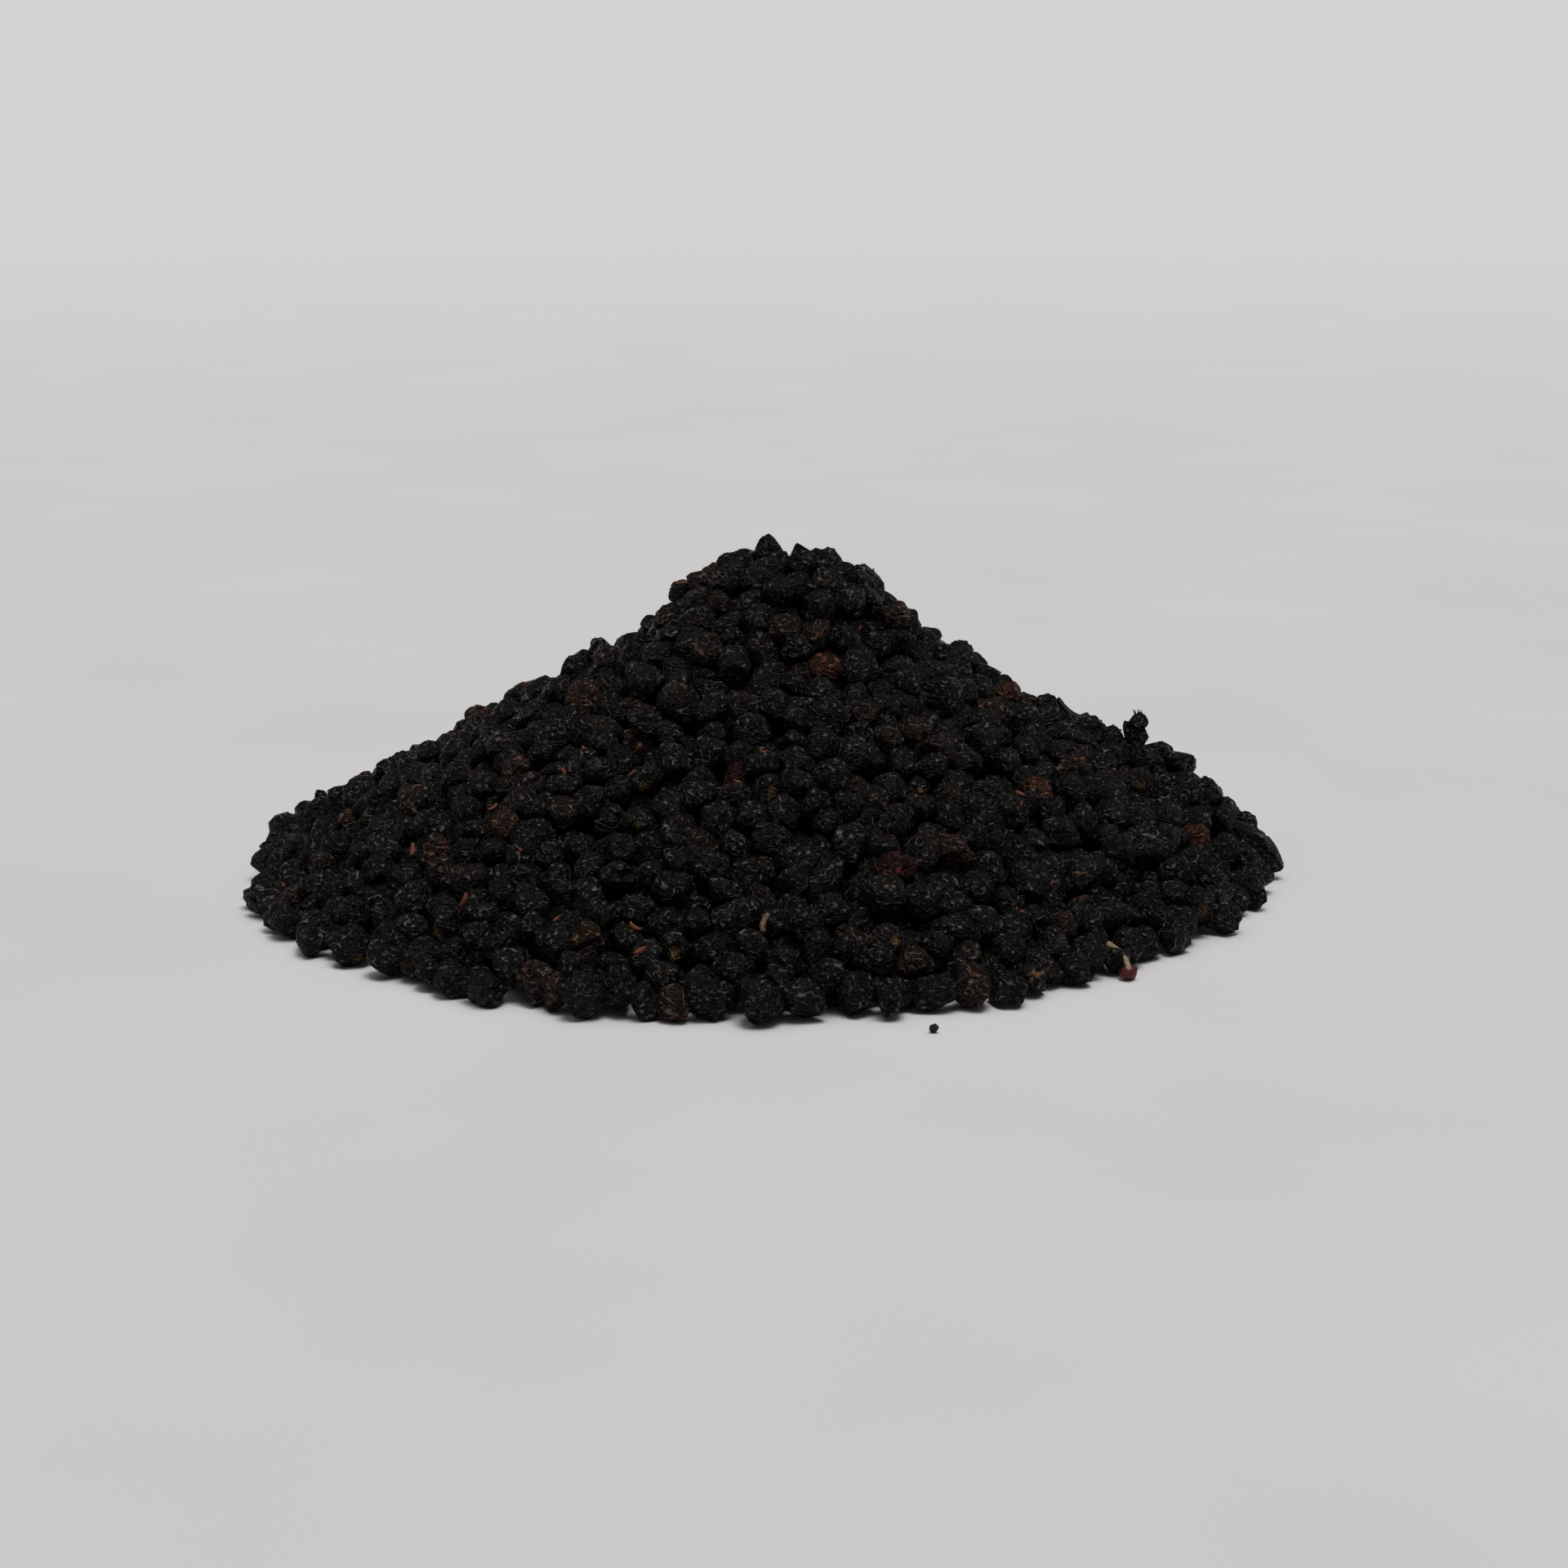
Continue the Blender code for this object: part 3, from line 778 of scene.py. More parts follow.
@dataclass
class BerryMoulds:
    """Shapes of dried berries, each wrinkled once and then copied."""

    shapes: int = 14
    lump_size: float = 1.0
    lump_depth: float = 0.75
    fold_size: float = 0.66
    fold_depth: float = -0.42
    wrinkle_size: float = 0.30
    wrinkle_depth: float = -0.20
    navel_depth: float = 0.16
    navel_edge: float = 0.86
    side_share: float = 0.94
    spacing: float = 7.3
    flats: int = 7
    flat_reach: tuple[float, float] = (0.70, 0.90)
    flat_share: float = 0.85
    dents: int = 3
    dent_depth: tuple[float, float] = (0.10, 0.30)
    dent_width: float = 0.5
    crease_angle: float = 38.0
    seed: int = 41
    made: dict[tuple[int, Fineness], Mould] = field(default_factory=dict)

    def make(self, number: int, fineness: Fineness) -> Mould:
        """Model one shape: a cube cut into squares, rounded, and pressed in.

        Each shape stands off the origin, so that it meets another part of the patterns.

        Args:
            number: Number of the shape.
            fineness: Squares along each side.

        Returns:
            The shape's mould.
        """
        bpy.ops.mesh.primitive_cube_add(size=2.0, location=(self.spacing * (number + 1), 0.0, 0.0))
        ball = bpy.context.object
        bpy.ops.object.mode_set(mode="EDIT")
        bpy.ops.mesh.subdivide(number_cuts=fineness.value - 1)
        bpy.ops.object.mode_set(mode="OBJECT")
        mesh = ball.data
        cube = read_rows(mesh.vertices, "co", 3)
        faces = read_rows(mesh.loops, "vertex_index", 1, np.int64).reshape(-1, 4)
        # Tangent spacing keeps the squares of a rounded cube nearly equal.
        even = np.tan(cube * math.pi / 4.0)
        directions = even / np.linalg.norm(even, axis=1, keepdims=True)
        mesh.vertices.foreach_set("co", directions.ravel())
        mesh.update()
        press(ball, "berry_lumps", "CLOUDS", self.lump_size, self.lump_depth)
        if fineness.value >= Fineness.DEEP.value:
            press(ball, "berry_folds", "VORONOI", self.fold_size, self.fold_depth)
        if fineness.value > Fineness.SEEN.value:
            press(ball, "berry_wrinkles", "VORONOI", self.wrinkle_size, self.wrinkle_depth)
        points = self.squash(read_rows(mesh.vertices, "co", 3), directions, number)
        points /= np.linalg.norm(points, axis=1).mean()
        bpy.data.objects.remove(ball, do_unlink=True)
        return Mould(points, faces, self.layout(cube, faces), directions)

    def squash(self, points: np.ndarray, directions: np.ndarray, number: int) -> np.ndarray:
        """Flatten a shape where neighbours pressed it, and sink its dents and its navel.

        Args:
            points: Points of the shape.
            directions: Direction of each point from the middle.
            number: Number of the shape, which the draws depend on.

        Returns:
            The squashed points.
        """
        rng = np.random.default_rng(self.seed + number)
        sides = rng.normal(size=(self.flats + self.dents, 3))
        sides /= np.linalg.norm(sides, axis=1, keepdims=True)
        for side in sides[: self.dents]:
            depth = rng.uniform(*self.dent_depth)
            near = np.exp((directions @ side - 1.0) / (0.5 * self.dent_width**2))
            points = points * (1.0 - depth * near[:, None])
        for side in sides[self.dents :]:
            over = np.maximum(points @ side - rng.uniform(*self.flat_reach), 0.0)
            points = points - self.flat_share * over[:, None] * side
        above = (directions[:, 2] - self.navel_edge) / (1.0 - self.navel_edge)
        navel = np.clip(above, 0.0, 1.0)
        return points * (1.0 - self.navel_depth * navel[:, None])

    def layout(self, cube: np.ndarray, faces: np.ndarray) -> np.ndarray:
        """Flat layout of the six sides of the cube, three beside three.

        Args:
            cube: Corners of the squares on the cube.
            faces: Numbers of the corners of each square.

        Returns:
            Layout place of each corner of each square, from 0 to 1.
        """
        middles = cube[faces].mean(axis=1)
        axis = np.abs(middles).argmax(axis=1)
        side = np.take_along_axis(middles, axis[:, None], axis=1)[:, 0] > 0.0
        others = np.array([[1, 2], [0, 2], [0, 1]])[axis]
        flat = np.take_along_axis(cube[faces], others[:, None, :].repeat(4, axis=1), axis=2)
        flat = 0.5 + 0.5 * self.side_share * flat
        column = axis[:, None].repeat(4, axis=1)
        row = side[:, None].repeat(4, axis=1)
        return np.stack([(column + flat[..., 0]) / 3.0, (row + flat[..., 1]) / 2.0], axis=2)

    def get(self, number: int, fineness: Fineness) -> Mould:
        """Mould of a shape, modelled when it is first asked for."""
        key = (number % self.shapes, fineness)
        if key not in self.made:
            self.made[key] = self.make(*key)
        return self.made[key]


@dataclass
class PlacedBerry:
    """A berry of the heap with its shape, turn, stretch and marks."""

    berry: Berry
    shape: int
    turn: Matrix
    stretch: tuple[float, float, float]
    tone: float
    scarred: bool
    fineness: Fineness = Fineness.SEEN

    def points(self, mould: Mould, grow: float) -> np.ndarray:
        """Points of the berry in its place, none below the floor.

        Args:
            mould: Shape of the berry.
            grow: Size of the shrunken berry against its settling ball.

        Returns:
            A row for each point.
        """
        reach = self.berry.r * grow
        matrix = np.array(self.turn) @ np.diag(self.stretch) * reach
        placed = mould.points @ matrix.T + np.array(self.berry[:3])
        if self.berry.z < self.berry.r + FLOOR_SLACK:
            placed[:, 2] -= placed[:, 2].min()
        placed[:, 2] = np.maximum(placed[:, 2], LEAST_LIFT)
        return placed


@dataclass
class BerryDresser:
    """Chooses each berry's shape, turn and colour, and makes meshes of many berries."""

    moulds: BerryMoulds
    seed: int = 23
    grow: float = 1.09
    scar_share: float = 0.15
    scar_size: float = 0.72
    long_side: tuple[float, float] = (0.95, 1.22)
    flat_side: tuple[float, float] = (0.78, 1.0)
    cell_margin: float = 0.015
    rng: random.Random = field(init=False)

    def __post_init__(self) -> None:
        """Start the random draws."""
        self.rng = random.Random(self.seed)

    def place(self, berry: Berry, fineness: Fineness, tone: float | None = None) -> PlacedBerry:
        """Draw the looks of one berry.

        Args:
            berry: The settled berry.
            fineness: How finely it is modelled.
            tone: Its colour along the skin's stops, drawn where it isn't given.

        Returns:
            The berry with its looks.
        """
        rng = self.rng
        angles = (rng.uniform(0.0, math.tau), math.acos(rng.uniform(-1.0, 1.0)), 0.0)
        turn = Euler(angles).to_matrix() @ Matrix.Rotation(rng.uniform(0.0, math.tau), 3, "Z")
        long_side = rng.uniform(*self.long_side)
        flat_side = rng.uniform(*self.flat_side)
        drawn = rng.random()
        return PlacedBerry(
            berry=berry,
            shape=rng.randrange(self.moulds.shapes),
            turn=turn,
            stretch=(1.0, flat_side, long_side),
            tone=drawn if tone is None else tone,
            scarred=rng.random() < self.scar_share,
            fineness=fineness,
        )

    def mesh(self, name: str, placed: list[PlacedBerry]) -> bpy.types.Object:
        """Make one piece of many berries.

        Args:
            name: Name of the piece.
            placed: The berries of the piece.

        Returns:
            The piece, in its place.
        """
        side = math.ceil(math.sqrt(len(placed)))
        points, faces, corners, marks = [], [], [], []
        start = 0
        for number, item in enumerate(placed):
            mould = self.moulds.get(item.shape, item.fineness)
            points.append(item.points(mould, self.grow))
            faces.append(mould.faces + start)
            cell = np.array([number % side, number // side])
            inset = mould.corners * (1.0 - 2.0 * self.cell_margin) + self.cell_margin
            corners.append((inset + cell) / side)
            pole = mould.directions[:, 2]
            scar = np.clip((pole - self.scar_size) / (1.0 - self.scar_size), 0.0, 1.0)
            mark = np.zeros((len(pole), 3))
            mark[:, 0] = item.tone
            mark[:, 1] = scar * item.scarred
            marks.append(mark)
            start += len(mould.points)
        mesh = mesh_from_arrays(name, np.concatenate(points), np.concatenate(faces))
        layer = mesh.uv_layers.new(name="OFBake")
        layer.data.foreach_set("uv", np.concatenate(corners).astype(np.float32).ravel())
        attribute = mesh.attributes.new("berry_mark", "FLOAT_VECTOR", "POINT")
        attribute.data.foreach_set("vector", np.concatenate(marks).astype(np.float32).ravel())
        mesh.shade_smooth()
        mesh.set_sharp_from_angle(angle=math.radians(self.moulds.crease_angle))
        return add_piece(name, mesh)


def mesh_from_arrays(name: str, points: np.ndarray, faces: np.ndarray) -> bpy.types.Mesh:
    """Make a mesh from points and faces that all have the same number of corners.

    Args:
        name: Name of the mesh.
        points: A row for each point.
        faces: Numbers of the corners of each face.

    Returns:
        The mesh.
    """
    mesh = bpy.data.meshes.new(name)
    mesh.vertices.add(len(points))
    mesh.vertices.foreach_set("co", points.astype(np.float32).ravel())
    mesh.loops.add(faces.size)
    mesh.loops.foreach_set("vertex_index", faces.astype(np.int32).ravel())
    mesh.polygons.add(len(faces))
    starts = np.arange(0, faces.size, faces.shape[1], dtype=np.int32)
    mesh.polygons.foreach_set("loop_start", starts)
    mesh.update(calc_edges=True)
    mesh.validate()
    return mesh


def add_piece(name: str, data: bpy.types.ID) -> bpy.types.Object:
    """Link a mesh, a light or a camera to the scene as an object at the origin."""
    piece = bpy.data.objects.new(name, data)
    bpy.context.scene.collection.objects.link(piece)
    return piece


def finish_piece(
    piece: bpy.types.Object, finish: DriedSkin | DryFibre, slot: str, *nodes: str
) -> None:
    """Dress a piece and tie it to the model.

    Args:
        piece: The piece.
        finish: Its finish.
        slot: Material slot of the record; not used.
        nodes: Solids that it stands for.
    """
    piece.data.materials.clear()
    piece.data.materials.append(finish.material())
    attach(piece, BODY)
    if nodes:
        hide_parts(*nodes)
    LOG.info("%s: %d faces", piece.name, len(piece.data.polygons))


def nodes_named(start: str) -> list[str]:
    """Solids of the model whose name starts with some words, in order."""
    return sorted(name for name in frame["nodes"] if name.startswith(start))


@dataclass
class LooseBerries:
    """Berries that are solids of their own: on the rim, on the crown, brown, or twins."""

    heap: BerryHeap
    dresser: BerryDresser
    most_tone: float = 0.8
    taken: set[Berry] = field(default_factory=set)

    def shade_of(self, node: str) -> Shade:
        """Shade that the record gives a solid."""
        slots = {part["node"]: part["material_slot"] for part in frame["record"]["subparts"]}
        return Shade(slots[node])

    def build(self) -> None:
        """Build every loose berry of the model."""
        kinds = ("rim_berry", "crown_berry", "brown_berry", "twin_berry")
        for node in (name for kind in kinds for name in nodes_named(kind)):
            berries = self.heap.inside(node)
            self.taken.update(berries)
            shade = self.shade_of(node)
            tone = self.dresser.rng.uniform(0.0, self.most_tone)
            placed = [self.dresser.place(berry, Fineness.CLOSE, tone) for berry in berries]
            piece = self.dresser.mesh(node + "_skin", placed)
            finish_piece(piece, SKINS[shade], shade.value, node)


@dataclass
class HeapBerries:
    """All the other berries of the heap, in pieces that each span it."""

    heap: BerryHeap
    dresser: BerryDresser
    views: HeapViews = field(default_factory=HeapViews)
    outer_pieces: int = 6
    inner_pieces: int = 2
    clear_share: float = 0.30
    half_share: float = 0.10

    def fineness(self, share: float) -> Fineness:
        """How finely a berry is modelled, by how much of it shows."""
        if share > self.clear_share:
            return Fineness.SEEN
        if share > self.half_share:
            return Fineness.HALF_SEEN
        return Fineness.DEEP if share > 0.0 else Fineness.HIDDEN

    def build(self, taken: set[Berry]) -> list[PlacedBerry]:
        """Build the berries of the heap that aren't loose.

        Args:
            taken: The loose berries.

        Returns:
            The berries that show.
        """
        shares = self.views.seen(self.heap.berries)
        outer, inner = [], []
        for berry, share in zip(self.heap.berries, shares, strict=True):
            if berry in taken:
                continue
            item = self.dresser.place(berry, self.fineness(share))
            (outer if share > 0.0 else inner).append(item)
        counts = {kind.name: 0 for kind in Fineness}
        for item in outer + inner:
            counts[item.fineness.name] += 1
        LOG.info("berries by fineness: %s", counts)
        groups = [("outer", outer, self.outer_pieces), ("inner", inner, self.inner_pieces)]
        for label, items, pieces in groups:
            for number in range(pieces):
                piece = self.dresser.mesh(f"{label}_berries_{number + 1}", items[number::pieces])
                finish_piece(piece, BLACK_SKIN, Shade.BLACK.value, "berry_heap")
        return outer


@dataclass
class UprightCluster:
    """Three small berries and a stub of stalk that stand on the right shoulder."""

    node: str = "upright_cluster"
    balls: tuple[tuple[float, float], ...] = ((0.0, 2.0), (2.4, 1.6), (4.3, 1.1))
    lean: float = 0.12
    teeth: int = 5
    tooth_length: float = 1.5 * MM
    tooth_width: float = 0.28 * MM
    tooth_tip: float = 0.03 * MM
    tooth_ring: float = 0.3 * MM
    tooth_rise: float = 1.2
    tooth_leans: tuple[float, float] = (18.0, 32.0)
    tone: float = 0.3

    def build(self, dresser: BerryDresser) -> None:
        """Build the cluster and its spiky tip.

        Args:
            dresser: Gives the berries their looks.
        """
        low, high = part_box(self.node)
        foot = Vector(((low[0] + high[0]) / 2.0, (low[1] + high[1]) / 2.0, low[2]))
        foot.z += self.balls[0][1] * MM
        placed = []
        for height, radius in self.balls:
            aside = self.lean * height * MM
            berry = Berry(foot.x + aside, foot.y, foot.z + height * MM, radius * MM)
            placed.append(dresser.place(berry, Fineness.CLOSE, self.tone))
        piece = dresser.mesh("upright_cluster_skin", placed)
        finish_piece(piece, BLACK_SKIN, Shade.BLACK.value, self.node)
        tip = Vector(placed[-1].berry[:3])
        tip.z += 0.5 * placed[-1].berry.r
        self.spikes(tip)

    def spikes(self, tip: Vector) -> None:
        """Build the withered calyx on the tip.

        Args:
            tip: Place that the spikes spring from.
        """
        made = []
        for number in range(self.teeth):
            turn = math.tau * number / self.teeth
            lean = math.radians(self.tooth_leans[number % 2])
            aside = Vector((math.cos(turn), -math.sin(turn), self.tooth_rise))
            bpy.ops.mesh.primitive_cone_add(
                vertices=5,
                radius1=self.tooth_width,
                radius2=self.tooth_tip,
                depth=self.tooth_length,
                rotation=(lean * math.sin(turn), lean * math.cos(turn), 0.0),
                location=tip + aside * self.tooth_ring,
            )
            made.append(bpy.context.object)
        piece = join_objects(made, "upright_cluster_tip")
        finish_piece(piece, DRY_SCRAP, Shade.BLACK.value)


def join_objects(objects: list[bpy.types.Object], name: str) -> bpy.types.Object:
    """Join objects into one piece at the origin.

    Args:
        objects: The objects, which have been placed.
        name: Name of the piece.

    Returns:
        The piece.
    """
    bpy.ops.object.select_all(action="DESELECT")
    for item in objects:
        item.select_set(True)
    bpy.context.view_layer.objects.active = objects[0]
    bpy.ops.object.join()
    bpy.ops.object.transform_apply(location=True, rotation=True, scale=True)
    piece = bpy.context.object
    piece.name = name
    return piece


@dataclass
class DryBits:
    """Bits of stalk and scraps of skin that lie between the berries."""

    ripple_size: float = 0.9 * MM
    ripple_depth: float = 0.16 * MM
    pale_node: str = "stalk_bit_1"
    stub_radius: float = 0.78 * MM
    stub_inset: tuple[float, float] = (0.4 * MM, 0.8 * MM)
    crumb_share: float = 1.07
    crumb_direction: float = -75.0
    crumb_height: float = 0.35 * MM
    crumb_radius: float = 0.45 * MM

    def refined(self, node: str, name: str) -> bpy.types.Object:
        """Copy a solid, round it and ripple its surface.

        Args:
            node: Name of the solid.
            name: Name of the new piece.

        Returns:
            The piece.
        """
        mesh = frame["nodes"][node].data.copy()
        piece = add_piece(name, mesh)
        bm = bmesh.new()
        bm.from_mesh(mesh)
        bmesh.ops.remove_doubles(bm, verts=bm.verts, dist=0.001 * MM)
        bmesh.ops.recalc_face_normals(bm, faces=bm.faces)
        bm.to_mesh(mesh)
        bm.free()
        bpy.ops.object.select_all(action="DESELECT")
        piece.select_set(True)
        bpy.context.view_layer.objects.active = piece
        rounded = piece.modifiers.new("rounded", "SUBSURF")
        rounded.levels = rounded.render_levels = 2
        bpy.ops.object.modifier_apply(modifier=rounded.name)
        press(piece, "dry_ripples", "CLOUDS", self.ripple_size, self.ripple_depth)
        mesh.shade_smooth()
        return piece

    def build(self, dresser: BerryDresser) -> None:
        """Build every bit of stalk, the scraps, the crimson stub and a crumb.

        Args:
            dresser: Gives the stub its shape.
        """
        for node in nodes_named("stalk_bit"):
            piece = self.refined(node, node + "_fibre")
            stalk = PALE_STALK if node == self.pale_node else DRY_STALK
            finish_piece(piece, stalk, "stalk", node)
        for node in nodes_named("skin_scrap"):
            piece = self.refined(node, node + "_flake")
            finish_piece(piece, DRY_SCRAP, "scrap_skin", node)
        low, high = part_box(self.pale_node)
        x, y = high[0] - self.stub_inset[0], low[1] + self.stub_inset[1]
        middle = Berry(x, y, self.stub_radius, self.stub_radius)
        stub = dresser.mesh("crimson_stub", [dresser.place(middle, Fineness.SEEN, 0.5)])
        finish_piece(stub, DRY_STUB, Shade.CRIMSON.value)
        reach = self.crumb_share * HeapOutline().radius
        turn = math.radians(self.crumb_direction)
        x, y = reach * math.cos(turn), reach * math.sin(turn)
        crumb_ball = Berry(x, y, self.crumb_height, self.crumb_radius)
        crumb = dresser.mesh("table_crumb", [dresser.place(crumb_ball, Fineness.DEEP, 0.2)])
        finish_piece(crumb, DRY_SCRAP, "scrap_skin")


@dataclass
class Debris:
    """Tiny dry flakes and calyx crowns on the berries that show."""

    seed: int = 77
    flakes: int = 230
    crowns: int = 130
    cream_tips: int = 26
    flake_length: tuple[float, float] = (0.9 * MM, 2.0 * MM)
    tip_length: tuple[float, float] = (0.5 * MM, 0.9 * MM)
    crown_radius: tuple[float, float] = (0.294 * MM, 0.504 * MM)
    flake_width: float = 0.5
    flake_blunt: float = 1.08
    flake_taper: float = 1.9
    flake_power: float = 1.4
    flake_widest: float = -0.07
    flake_curl: float = 0.45
    flake_fold: float = 0.35
    flake_thickness: float = 0.09
    teeth: int = 5
    tooth_root: float = 0.42
    tooth_tip: float = 0.06
    tooth_lengths: tuple[float, float] = (1.1, 1.4)
    tooth_lean: float = 0.35
    tooth_ring: float = 0.72
    tooth_lift: float = 0.25
    outward_share: float = 0.6
    upward_share: float = 0.8
    jitter: float = 0.8
    facing: float = 0.35
    facing_height: float = 25.0 * MM
    crown_depth: float = 0.94

    def flake_mould(self) -> tuple[np.ndarray, np.ndarray]:
        """Model a pointed, curled flake 1 long.

        Returns:
            Its points and its three-sided faces.
        """
        bpy.ops.mesh.primitive_grid_add(x_subdivisions=4, y_subdivisions=2, size=1.0)
        flake = bpy.context.object
        for vertex in flake.data.vertices:
            along, across = vertex.co.x, vertex.co.y
            taper = self.flake_taper * abs(along - self.flake_widest) ** self.flake_power
            vertex.co.y = self.flake_width * across * (self.flake_blunt - taper)
            vertex.co.z = self.flake_curl * along * along - self.flake_fold * abs(across)
        thick = flake.modifiers.new("thickness", "SOLIDIFY")
        thick.thickness = self.flake_thickness
        bpy.ops.object.modifier_apply(modifier=thick.name)
        return take_mould(flake)

    def crown_mould(self) -> tuple[np.ndarray, np.ndarray]:
        """Model a withered calyx of teeth round a pit, of radius 1.

        Returns:
            Its points and its three-sided faces.
        """
        teeth = []
        for number in range(self.teeth):
            turn = math.tau * number / self.teeth
            across, along = math.cos(turn), math.sin(turn)
            bpy.ops.mesh.primitive_cone_add(
                vertices=4,
                radius1=self.tooth_root,
                radius2=self.tooth_tip,
                depth=self.tooth_lengths[number % 2],
                rotation=(self.tooth_lean * along, -self.tooth_lean * across, turn),
                location=(self.tooth_ring * across, self.tooth_ring * along, self.tooth_lift),
            )
            teeth.append(bpy.context.object)
        return take_mould(join_objects(teeth, "calyx_mould"))

    def spots(self, outer: list[PlacedBerry], count: int, rng: random.Random) -> list[Matrix]:
        """Choose places on the outer sides of berries that show.

        Args:
            outer: Berries that show.
            count: Number of places.
            rng: Source of the draws.

        Returns:
            A frame for each place, with its Z away from the berry.
        """
        shown = [item for item in outer if item.fineness in (Fineness.SEEN, Fineness.HALF_SEEN)]
        places = []
        for item in rng.sample(shown, count):
            berry = item.berry
            outward = Vector((berry.x, berry.y, 0.0)).normalized() * self.outward_share
            outward.z = self.upward_share
            jitter = Vector([rng.uniform(-self.jitter, self.jitter) for _ in range(3)])
            way = (outward.normalized() + jitter).normalized()
            places.append(frame_at(Vector(berry[:3]) + way * berry.r, way, rng))
        return places

    def poles(self, outer: list[PlacedBerry], count: int) -> list[Matrix]:
        """Calyx ends of berries that face out of the heap.

        Args:
            outer: Berries that show.
            count: Largest number of places.

        Returns:
            A frame for each place, with its Z away from the berry.
        """
        rng = random.Random(self.seed + 1)
        places = []
        for item in outer:
            way = Vector(item.turn @ Vector((0.0, 0.0, 1.0)))
            berry = item.berry
            outward = Vector((berry.x, berry.y, self.facing_height)).normalized()
            if way.dot(outward) > self.facing and item.fineness == Fineness.SEEN:
                reach = self.crown_depth * item.stretch[2] * berry.r
                places.append(frame_at(Vector(berry[:3]) + way * reach, way, rng))
        return places[:: max(len(places) // count, 1)]

    def scatter(
        self, name: str, mould: tuple[np.ndarray, np.ndarray], places: list[Matrix]
    ) -> bpy.types.Object:
        """Copy a mould to many places as one piece.

        Args:
            name: Name of the piece.
            mould: Points and faces of the mould.
            places: A frame for each copy, with the copy's size in it.

        Returns:
            The piece.
        """
        shape, sides = mould
        points, faces = [], []
        for number, place in enumerate(places):
            matrix = np.array(place)
            moved = shape @ matrix[:3, :3].T + matrix[:3, 3]
            moved[:, 2] = np.maximum(moved[:, 2], LEAST_LIFT)
            points.append(moved)
            faces.append(sides + number * len(shape))
        mesh = mesh_from_arrays(name, np.concatenate(points), np.concatenate(faces))
        return add_piece(name, mesh)

    def build(self, outer: list[PlacedBerry]) -> None:
        """Build the flakes, the crowns and the cream tips.

        Args:
            outer: Berries that show.
        """
        rng = random.Random(self.seed)
        flake, crown = self.flake_mould(), self.crown_mould()
        kinds = (
            ("calyx_flakes", flake, self.flakes, self.flake_length, DRY_HUSK, "stalk"),
            ("calyx_crowns", crown, self.crowns, self.crown_radius, DRY_SCRAP, "scrap_skin"),
            ("cream_stalk_tips", flake, self.cream_tips, self.tip_length, DRY_CALYX, "stalk"),
        )
        for name, mould, count, sizes, finish, slot in kinds:
            if mould is crown:
                places = self.poles(outer, count)
            else:
                places = self.spots(outer, count, rng)
            sized = [place @ Matrix.Scale(rng.uniform(*sizes), 4) for place in places]
            finish_piece(self.scatter(name, mould, sized), finish, slot)


def frame_at(place: Vector, way: Vector, rng: random.Random) -> Matrix:
    """Frame at a place with its Z along a way, turned at random about it."""
    turn = way.to_track_quat("Z", "Y").to_matrix().to_4x4()
    spin = Matrix.Rotation(rng.uniform(0.0, math.tau), 4, "Z")
    return Matrix.Translation(place) @ turn @ spin


def take_mould(model: bpy.types.Object) -> tuple[np.ndarray, np.ndarray]:
    """Points and three-sided faces of an object, which is then removed.

    Args:
        model: The object.

    Returns:
        Its points and its faces.
    """
    mesh = model.data
    mesh.calc_loop_triangles()
    points = read_rows(mesh.vertices, "co", 3)
    faces = read_rows(mesh.loop_triangles, "vertices", 3, np.int64)
    bpy.data.objects.remove(model, do_unlink=True)
    return points, faces


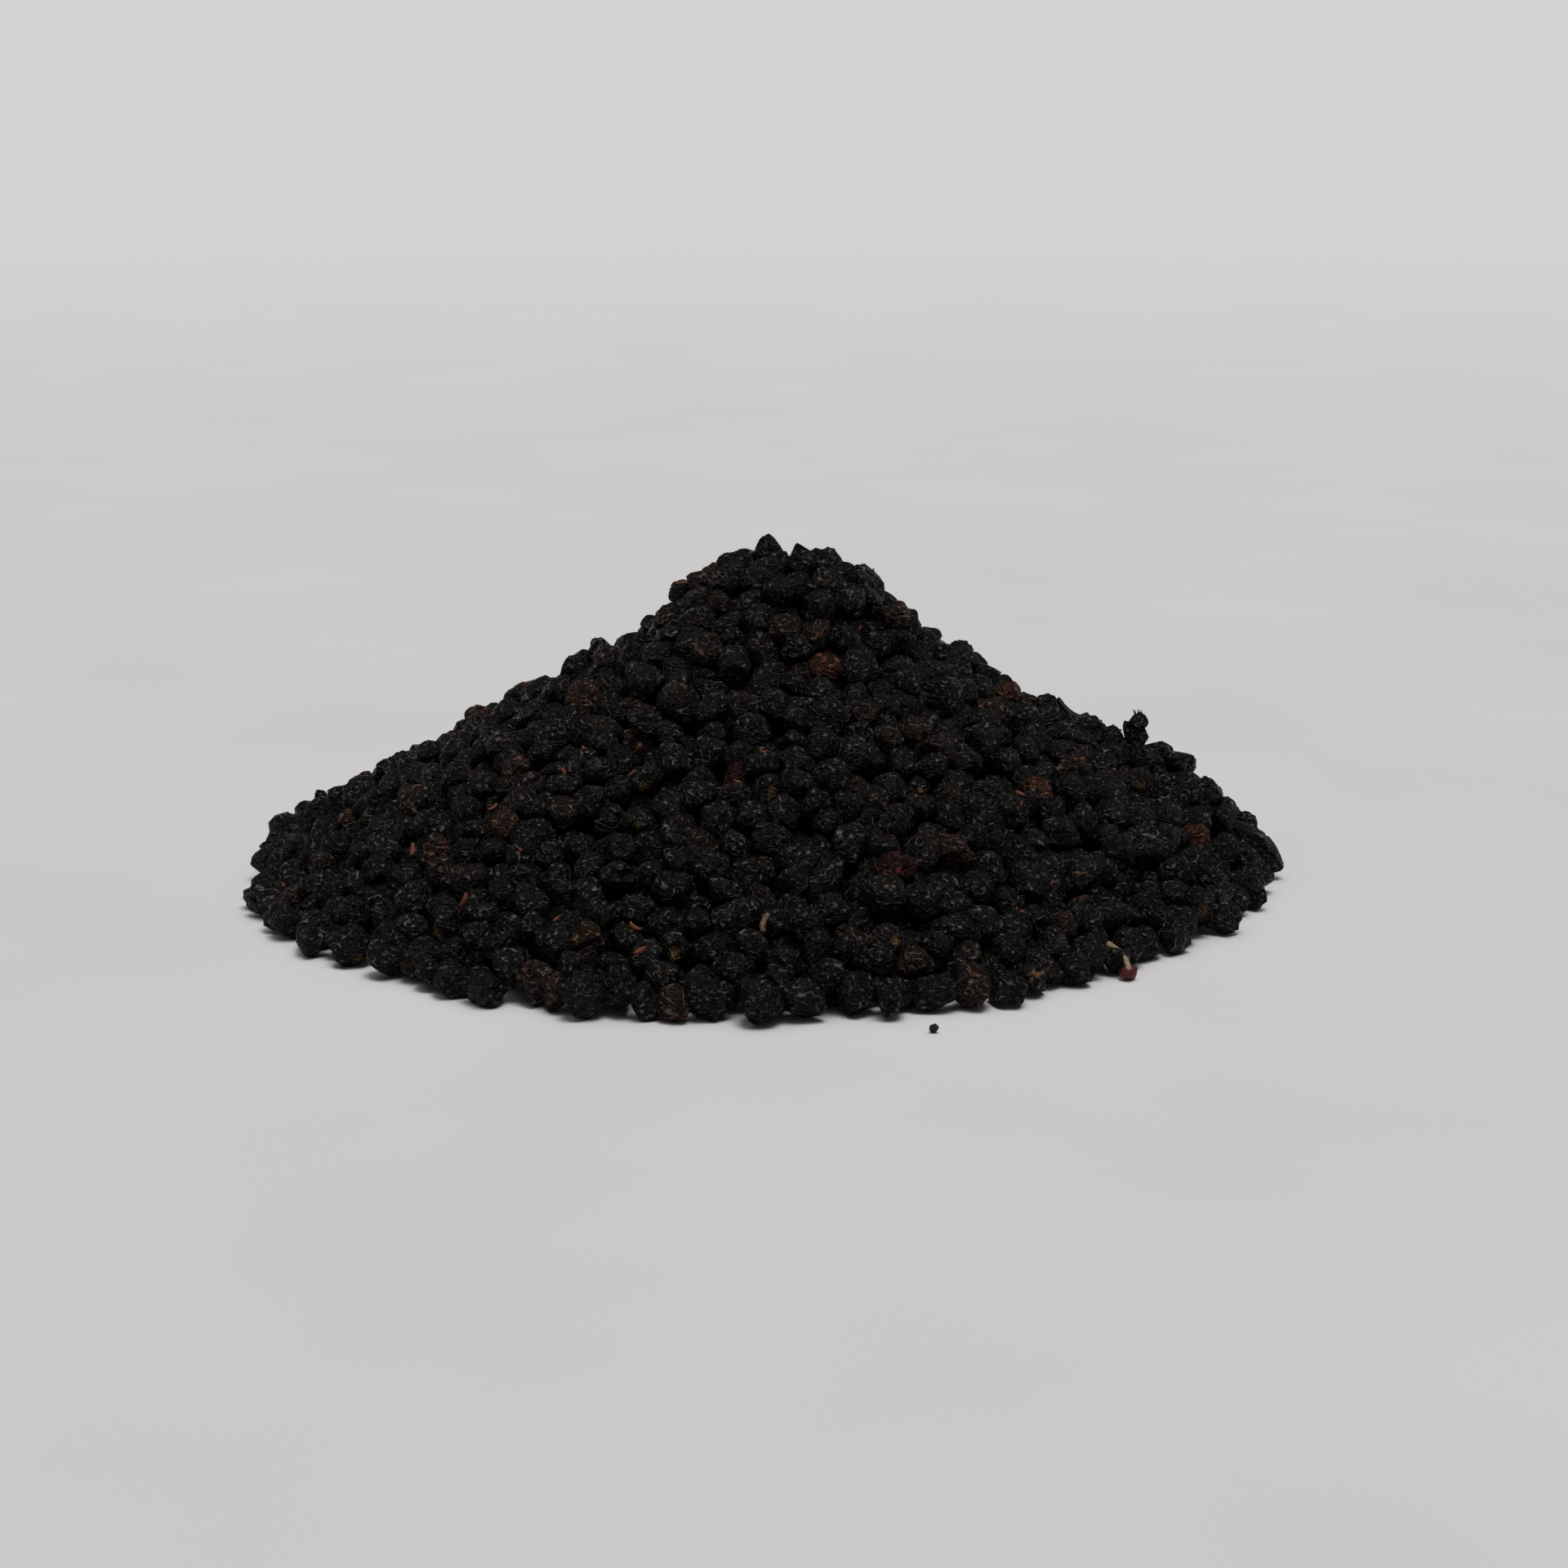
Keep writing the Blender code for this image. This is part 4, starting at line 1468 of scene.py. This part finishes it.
@dataclass
class Studio:
    """Pale table, soft light from above and the camera."""

    floor_size: float = 12.0
    sky: tuple[tuple[float, str], ...] = (
        (0.0, "#d2d2d3"),
        (0.54, "#d2d2d3"),
        (0.60, "#404042"),
        (0.80, "#404042"),
        (1.0, "#ffffff"),
    )
    sun_strength: float = 1.6
    sun_angle: float = 30.0
    sun_tilt: tuple[float, float] = (12.0, 8.0)
    camera_place: tuple[float, float, float] = (0.002, -0.39, 0.105)
    camera_pitch: float = 13.5
    lens: float = 71.6

    def build(self) -> None:
        """Build the table, the light and the camera."""
        bpy.ops.mesh.primitive_plane_add(size=self.floor_size)
        table = bpy.context.object
        table.name = "table"
        table.data.materials.append(MattePaper().material())
        self.light()
        eye = bpy.data.cameras.new("front_camera")
        eye.lens = self.lens
        eye.sensor_width = 36.0
        eye.clip_start = 0.01
        camera = add_piece("front_camera", eye)
        camera.location = self.camera_place
        camera.rotation_euler = (math.radians(90.0 - self.camera_pitch), 0.0, 0.0)
        bpy.context.scene.camera = camera
        bpy.context.scene.view_settings.view_transform = "Standard"

    def light(self) -> None:
        """Build the soft room, darker at its walls, and the broad light from above."""
        world = bpy.data.worlds.new("soft_room")
        world.use_nodes = True
        tree = world.node_tree
        facing = add_node(tree, "ShaderNodeTexCoord").outputs["Generated"]
        height = add_node(tree, "ShaderNodeSeparateXYZ", {"Vector": facing}).outputs["Z"]
        rise = {"Value": height, "From Min": -1.0}
        level = add_node(tree, "ShaderNodeMapRange", rise).outputs["Result"]
        sky = add_node(tree, "ShaderNodeValToRGB", {"Fac": level}, self.sky).outputs["Color"]
        tree.links.new(sky, tree.nodes["Background"].inputs["Color"])
        bpy.context.scene.world = world
        sun = bpy.data.lights.new("soft_top_light", "SUN")
        sun.energy = self.sun_strength
        sun.angle = math.radians(self.sun_angle)
        lamp = add_piece("soft_top_light", sun)
        lamp.rotation_euler = [math.radians(tilt) for tilt in self.sun_tilt] + [0.0]


def main() -> None:
    """Build the whole scene around the model."""
    logging.basicConfig(level=logging.INFO, format="%(message)s")
    Studio().build()
    heap = BerryHeap()
    heap.fill()
    LOG.info("berries in the heap: %d", len(heap.berries))
    dresser = BerryDresser(BerryMoulds())
    loose = LooseBerries(heap, dresser)
    loose.build()
    outer = HeapBerries(heap, dresser).build(loose.taken)
    UprightCluster().build(dresser)
    DryBits().build(dresser)
    Debris().build(outer)


if __name__ == "__main__":
    main()
